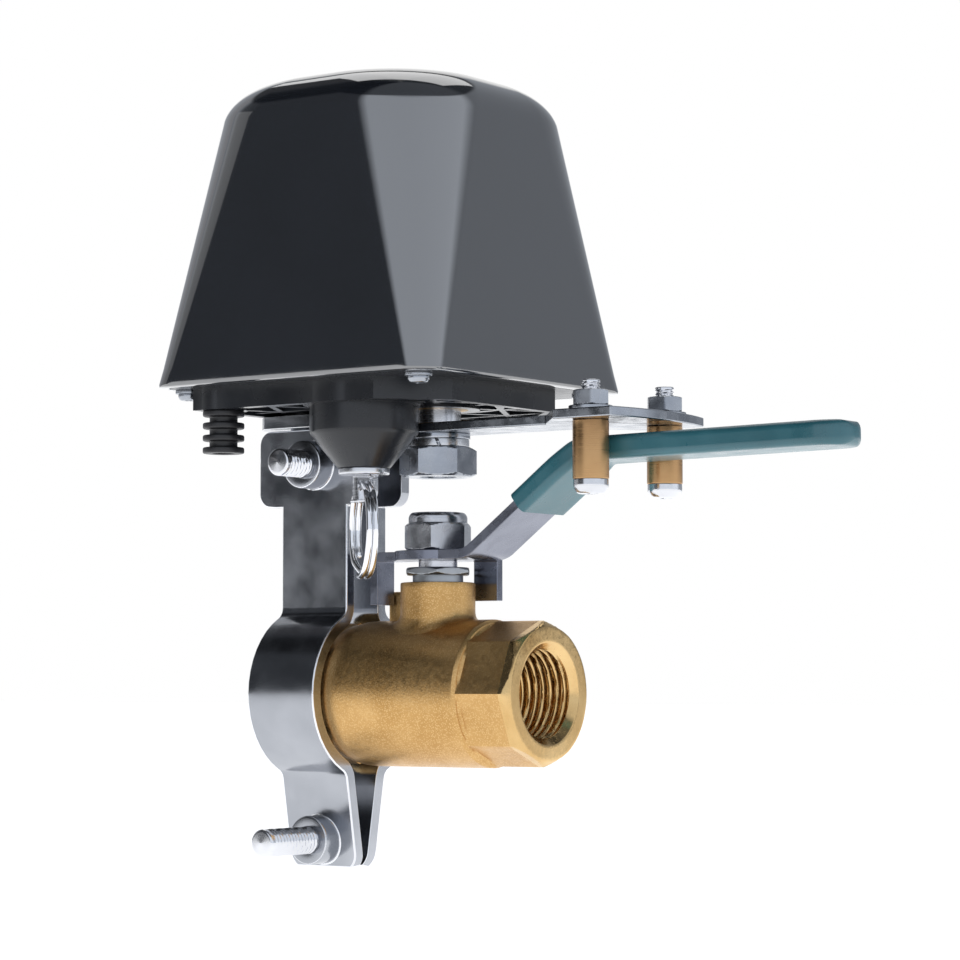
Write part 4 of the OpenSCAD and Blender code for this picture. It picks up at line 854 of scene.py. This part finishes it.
def make_body():
    """The barrel and its octagon end, along Z until the last turn."""
    outline = [(SPIGOT_R, -SEAT_END), (SPIGOT_R, -JOINT), (14.7, -JOINT, 0.3), (BARREL_R, -16.4, 1.5),
               (BARREL_R, 14.8, 0.3), (16.3, 15.6, 0.1)]
    outline += port_section() + [(PASSAGE_R, SEAT_END), (10.6, SEAT_END), (10.6, -SEAT_END)]
    bm = port_end(outline)
    for v in bm.verts:
        r = math.hypot(v.co.x, v.co.y)
        if v.co.z > 14.5 and r > 12.5:
            step = BARREL_R - 1.1 * smoothstep(14.8, 16.4, v.co.z) - max(0.0, v.co.z - 15.6) * 2.2
            limit = max(step, octagon_reach(math.atan2(v.co.y, v.co.x)))
            if r > limit:
                v.co.x *= limit / r
                v.co.y *= limit / r
    return turn(machined_faces(cut_threads(bm)), 90, "Y")


def make_neck():
    """The neck, with a soft fillet that follows the barrel round."""
    fillet = 2.6
    rim = ((5.45, 16), (5.45, 23.3), (5.75, 23.6), (7.6, 23.6), (7.9, 23.5), (NECK_R, 23.2))
    outline = [Vector(point) for point in rim]
    outline += [Vector((NECK_R, 23.2 - k)) for k in range(1, 4)]
    outline += [Vector((NECK_R + fillet * (k / 10) ** 2, 9.0 - 0.1 * k)) for k in range(11)]
    outline += [Vector((9.5, 7.0)), Vector((5.45, 7.0))]
    bm = spun(outline, 96)
    for v in bm.verts:
        if not 7.5 < v.co.z < 9.5:
            continue
        r, angle = math.hypot(v.co.x, v.co.y), math.atan2(v.co.y, v.co.x)
        t = math.sqrt(max(0.0, (r - NECK_R) / fillet))
        near = math.sqrt(BARREL_R ** 2 - (NECK_R * math.sin(angle)) ** 2)
        outer = math.sqrt(BARREL_R ** 2 - ((NECK_R + fillet) * math.sin(angle)) ** 2) - 0.12
        v.co.z = (near + fillet) * (1 - t) ** 2 + 2 * t * (1 - t) * near + outer * t * t
    return bm


lug = block(-16, -10.6, 3.3, 8.9, 8, 22, 0.9)
piece(together([make_body(), make_neck(), lug]), "brass_valve_body", "valve_brass", ["valve_body"],
      angle=32, extra=FINISHES["port_brass"])


def make_adapter():
    """The screwed end piece with its own octagon, along Z until the last turn."""
    outline = [(PASSAGE_R, SEAT_END), (SPIGOT_R, SEAT_END), (SPIGOT_R, JOINT), (16.3, JOINT)]
    bm = port_end(outline + port_section())
    for v in bm.verts:
        r = math.hypot(v.co.x, v.co.y)
        limit = octagon_reach(math.atan2(v.co.y, v.co.x))
        if v.co.z > 20.5 and r > max(12.5, limit):
            v.co.x *= limit / r
            v.co.y *= limit / r
    return turn(machined_faces(cut_threads(bm)), -90, "Y")


piece(make_adapter(), "brass_end_adapter", "valve_brass", ["end_adapter"], angle=32,
      extra=FINISHES["port_brass"])

BALL_R, WATERWAY_R = 10, 6.0
ball_outline = [(WATERWAY_R, -8.0)]
for degrees in range(-53, 54, 4):
    a = math.radians(degrees)
    ball_outline.append((BALL_R * math.cos(a), BALL_R * math.sin(a)))
ball_outline.append((WATERWAY_R, 8.0))
stem_slot = block(-11, 11, -1.65, 1.65, 7.2, 12)
ball = carved(turn(turned(ball_outline, 0.05, 96, 1.0), 90, "Y"), stem_slot)
piece(ball, "valve_ball", "ball_chrome", ["ball"], "valve_lever")
STEM_R, STEM_THREAD_R, STEM_TOP = 4.15, 3.9, 37.4
stem = turned([(0, 11.2), (5, 11.2), (5, 14), (STEM_R, 14), (STEM_R, 28.3), (STEM_THREAD_R, 28.3),
               (STEM_THREAD_R, STEM_TOP, 0.5), (0, STEM_TOP)], 0.15, 72, 0.16)
threaded(stem, STEM_THREAD_R, 1.25, 0.6, 30.4, 36.9)
tang = block(-4, 4, -1.6, 1.6, 7.4, 11.4, 0.15)
piece(together([stem, tang]), "valve_stem", "pin_steel", ["stem"], "valve_lever")
packing_nut = turned([(4.2, 20.2), (5.4, 20.2), (5.4, 25.3), (4.2, 25.3)], 0.1, 72)
gland_hex = nut(4.2, 13.2, 25.1, 26.8, 4)
piece(together([packing_nut, gland_hex]), "packing_gland_nut", "gland_steel", ["gland_nut"])

# ---------------------------------------------------------------- lever

softened_copy("lever", "lever_strip", "lever_steel", "valve_lever", 0.35)
collar_nut = turned([(3.85, 30.3), (6.35, 30.3), (7.505, 30.95), (7.505, 35.5), (6.45, 36.2),
                     (6.3, 36.25), (6.3, 37.7, 0.6), (5.7, 38.5, 0.3), (4.9, 38.5, 0.2),
                     (3.85, 37.2)], 0.12, 96, 0.4)
collar_nut = turn(to_polygon(collar_nut, 13, 6, 0.35, 36.22), -5)
piece(collar_nut, "lever_lock_nut", "nut_chrome", ["lever_nut"], "valve_lever")


def grip_line():
    """Middle line of the handle from the grip's cut end to its tip, with its bend, in X and Z."""
    low, corner, end = Vector((12.4, 29.3)), Vector((40.2, 50.0)), Vector((104.0, 50.9))
    up, on = (corner - low).normalized(), (end - corner).normalized()
    half_turn = up.angle(on) / 2
    cut = 6.0 * math.tan(half_turn)
    start, finish = corner - up * cut, corner + on * cut
    first = low + up * ((26.0 - low.x) / up.x)
    points = [(first.lerp(start, k / 8), up) for k in range(8)]
    for k in range(9):
        t = k / 8
        middle = start * (1 - t) ** 2 + corner * 2 * t * (1 - t) + finish * t * t
        points.append((middle, (up * (1 - t) + on * t).normalized()))
    tip_x = 101.4
    run = (tip_x - finish.x) / on.x
    steps = [k / 24 * 0.9 for k in range(1, 25)]
    steps += [0.9 + 0.1 * math.sin(math.pi / 2 * k / 14) for k in range(1, 15)]
    points += [(finish + on * (run * t), on) for t in steps]
    return points


def strip_ring(middle, normal, half, thick):
    """One section of the grip: a flat strip with well rounded corners."""
    corner = min(1.5, thick * 0.72, half * 0.72)
    signs = ((1, 1), (-1, 1), (-1, -1), (1, -1))
    flat = []
    for quarter in range(4):
        centre, after = (Vector((sx * (half - corner), sz * (thick - corner)))
                         for sx, sz in (signs[quarter], signs[(quarter + 1) % 4]))
        for k in range(9):
            a = math.radians(90 * quarter + 90 * k / 8)
            reach = corner * Vector((math.cos(a), math.sin(a)))
            flat.append(centre + reach)
        flat += [(centre + reach).lerp(after + reach, share) for share in (0.05, 0.35, 0.65, 0.95)]
    return [(middle.x + normal.x * p.y, p.x, middle.y + normal.y * p.y) for p in flat]


TIP_X, TIP_R, GRIP_THICK, TIP_SOFT = 94.6, 6.9, 2.5, 2.0


def make_grip():
    """The dipped grip: wide on the ramp, narrower on the handle, round at its tip."""
    sections = []
    for middle, along in grip_line():
        half = 8.4 - 1.5 * smoothstep(34.5, 43.0, middle.x)
        thick = GRIP_THICK
        if middle.x > TIP_X:
            reach = min(1.0, (middle.x - TIP_X) / TIP_R)
            half = max(0.3, TIP_R * math.sqrt(max(0.0, 1 - reach * reach)))
            from_tip = min(TIP_SOFT, TIP_R * (1 - reach))
            thick = GRIP_THICK - TIP_SOFT + math.sqrt(TIP_SOFT ** 2 - (TIP_SOFT - from_tip) ** 2)
        sections.append(strip_ring(middle, Vector((-along.y, along.x)), half, thick))
    return lofted(sections)


piece(make_grip(), "lever_vinyl_grip", "grip_vinyl", ["lever_grip"], "valve_lever", angle=50)

# ---------------------------------------------------------------- finishes of the CAD nodes that still show

for row in frame["record"]["subparts"]:
    shown = frame["nodes"][row["node"]]
    finish = FINISHES[row["material_slot"]].material
    if not shown.material_slots:
        shown.data.materials.append(finish)
    for place in shown.material_slots:
        place.material = finish

# ---------------------------------------------------------------- floor and light


def stage_plane(name, size, where, colour):
    """A level matt plane that glows a little, so that its far end stays as pale as its front."""
    mesh = bpy.data.meshes.new(name)
    bm = bmesh.new()
    bmesh.ops.create_grid(bm, x_segments=1, y_segments=1, size=size / 2)
    bm.to_mesh(mesh)
    bm.free()
    made = bpy.data.objects.new(name, mesh)
    bpy.context.scene.collection.objects.link(made)
    made.location = where
    f = Finish(name)
    f.colour(f.blend(f.span(f.noise(1.5), 0.0, 1.0), colour, tuple(c * 0.98 for c in colour)))
    f.fix(Roughness=0.9, Specular_IOR_Level=0.1, Emission_Color=(1, 1, 1, 1), Emission_Strength=0.9)
    mesh.materials.append(f.material)


stage_plane("floor", 40.0, (0, 0, -0.16), (0.86, 0.86, 0.87))


def softbox(name, azimuth, elevation, distance, width, height, radiance):
    """A white rectangular lamp that points at the middle of the object."""
    data = bpy.data.lights.new(name, "AREA")
    data.shape = "RECTANGLE"
    data.size, data.size_y = width, height
    data.energy = radiance * math.pi * width * height
    made = bpy.data.objects.new(name, data)
    bpy.context.scene.collection.objects.link(made)
    a, e = math.radians(azimuth), math.radians(elevation)
    outward = Vector((math.cos(a) * math.cos(e), math.sin(a) * math.cos(e), math.sin(e)))
    middle = Vector((0, 0, 0.05))
    made.location = middle + outward * distance
    made.rotation_euler = outward.to_track_quat("Z", "Y").to_euler()


softbox("overhead_box", 120, 65, 1.7, 1.6, 1.0, 1.3)
softbox("left_rim", -160, 14, 1.8, 0.9, 1.0, 0.22)


def soft_room():
    """A pale room, dim to the front left and overhead, so that glossy faces turn dark there."""
    world = bpy.data.worlds.new("room")
    bpy.context.scene.world = world
    world.use_nodes = True
    tree = world.node_tree
    place = tree.nodes.new("ShaderNodeTexCoord")
    split = tree.nodes.new("ShaderNodeSeparateXYZ")
    angle = tree.nodes.new("ShaderNodeMath")
    angle.operation = "ARCTAN2"
    spread = tree.nodes.new("ShaderNodeMapRange")
    spread.inputs["From Min"].default_value = -math.pi
    spread.inputs["From Max"].default_value = math.pi
    ramp = tree.nodes.new("ShaderNodeValToRGB")
    stops = ((-180, 0.4), (-168, 0.12), (-140, 0.06), (-112, 0.065), (-99, 0.86), (-40, 0.86), (34, 0.9),
             (50, 0.33), (75, 0.33), (108, 0.4), (114, 1.0), (139, 1.0), (146, 0.4))
    elements = ramp.color_ramp.elements
    for k, (azimuth, level) in enumerate(stops):
        at = (azimuth + 180) / 360
        element = elements[k] if k < 1 else elements.new(at)
        element.position = at
        element.color = (level * 0.94, level, level * 1.1, 1) if level < 1 else (1, 1, 1, 1)
    elements[len(elements) - 1].color = (0.4, 0.4, 0.42, 1)
    tree.links.new(place.outputs["Generated"], split.inputs[0])
    tree.links.new(split.outputs["Y"], angle.inputs[0])
    tree.links.new(split.outputs["X"], angle.inputs[1])
    tree.links.new(angle.outputs[0], spread.inputs["Value"])
    tree.links.new(spread.outputs["Result"], ramp.inputs["Fac"])
    ceiling = tree.nodes.new("ShaderNodeMapRange")
    ceiling.interpolation_type = "SMOOTHSTEP"
    ceiling.inputs["From Min"].default_value = 0.62
    ceiling.inputs["From Max"].default_value = 0.68
    ceiling.inputs["To Min"].default_value = 1.0
    ceiling.inputs["To Max"].default_value = 0.16
    tree.links.new(split.outputs["Z"], ceiling.inputs["Value"])
    tree.links.new(ceiling.outputs["Result"], tree.nodes["Background"].inputs["Strength"])
    tree.links.new(ramp.outputs["Color"], tree.nodes["Background"].inputs["Color"])


soft_room()
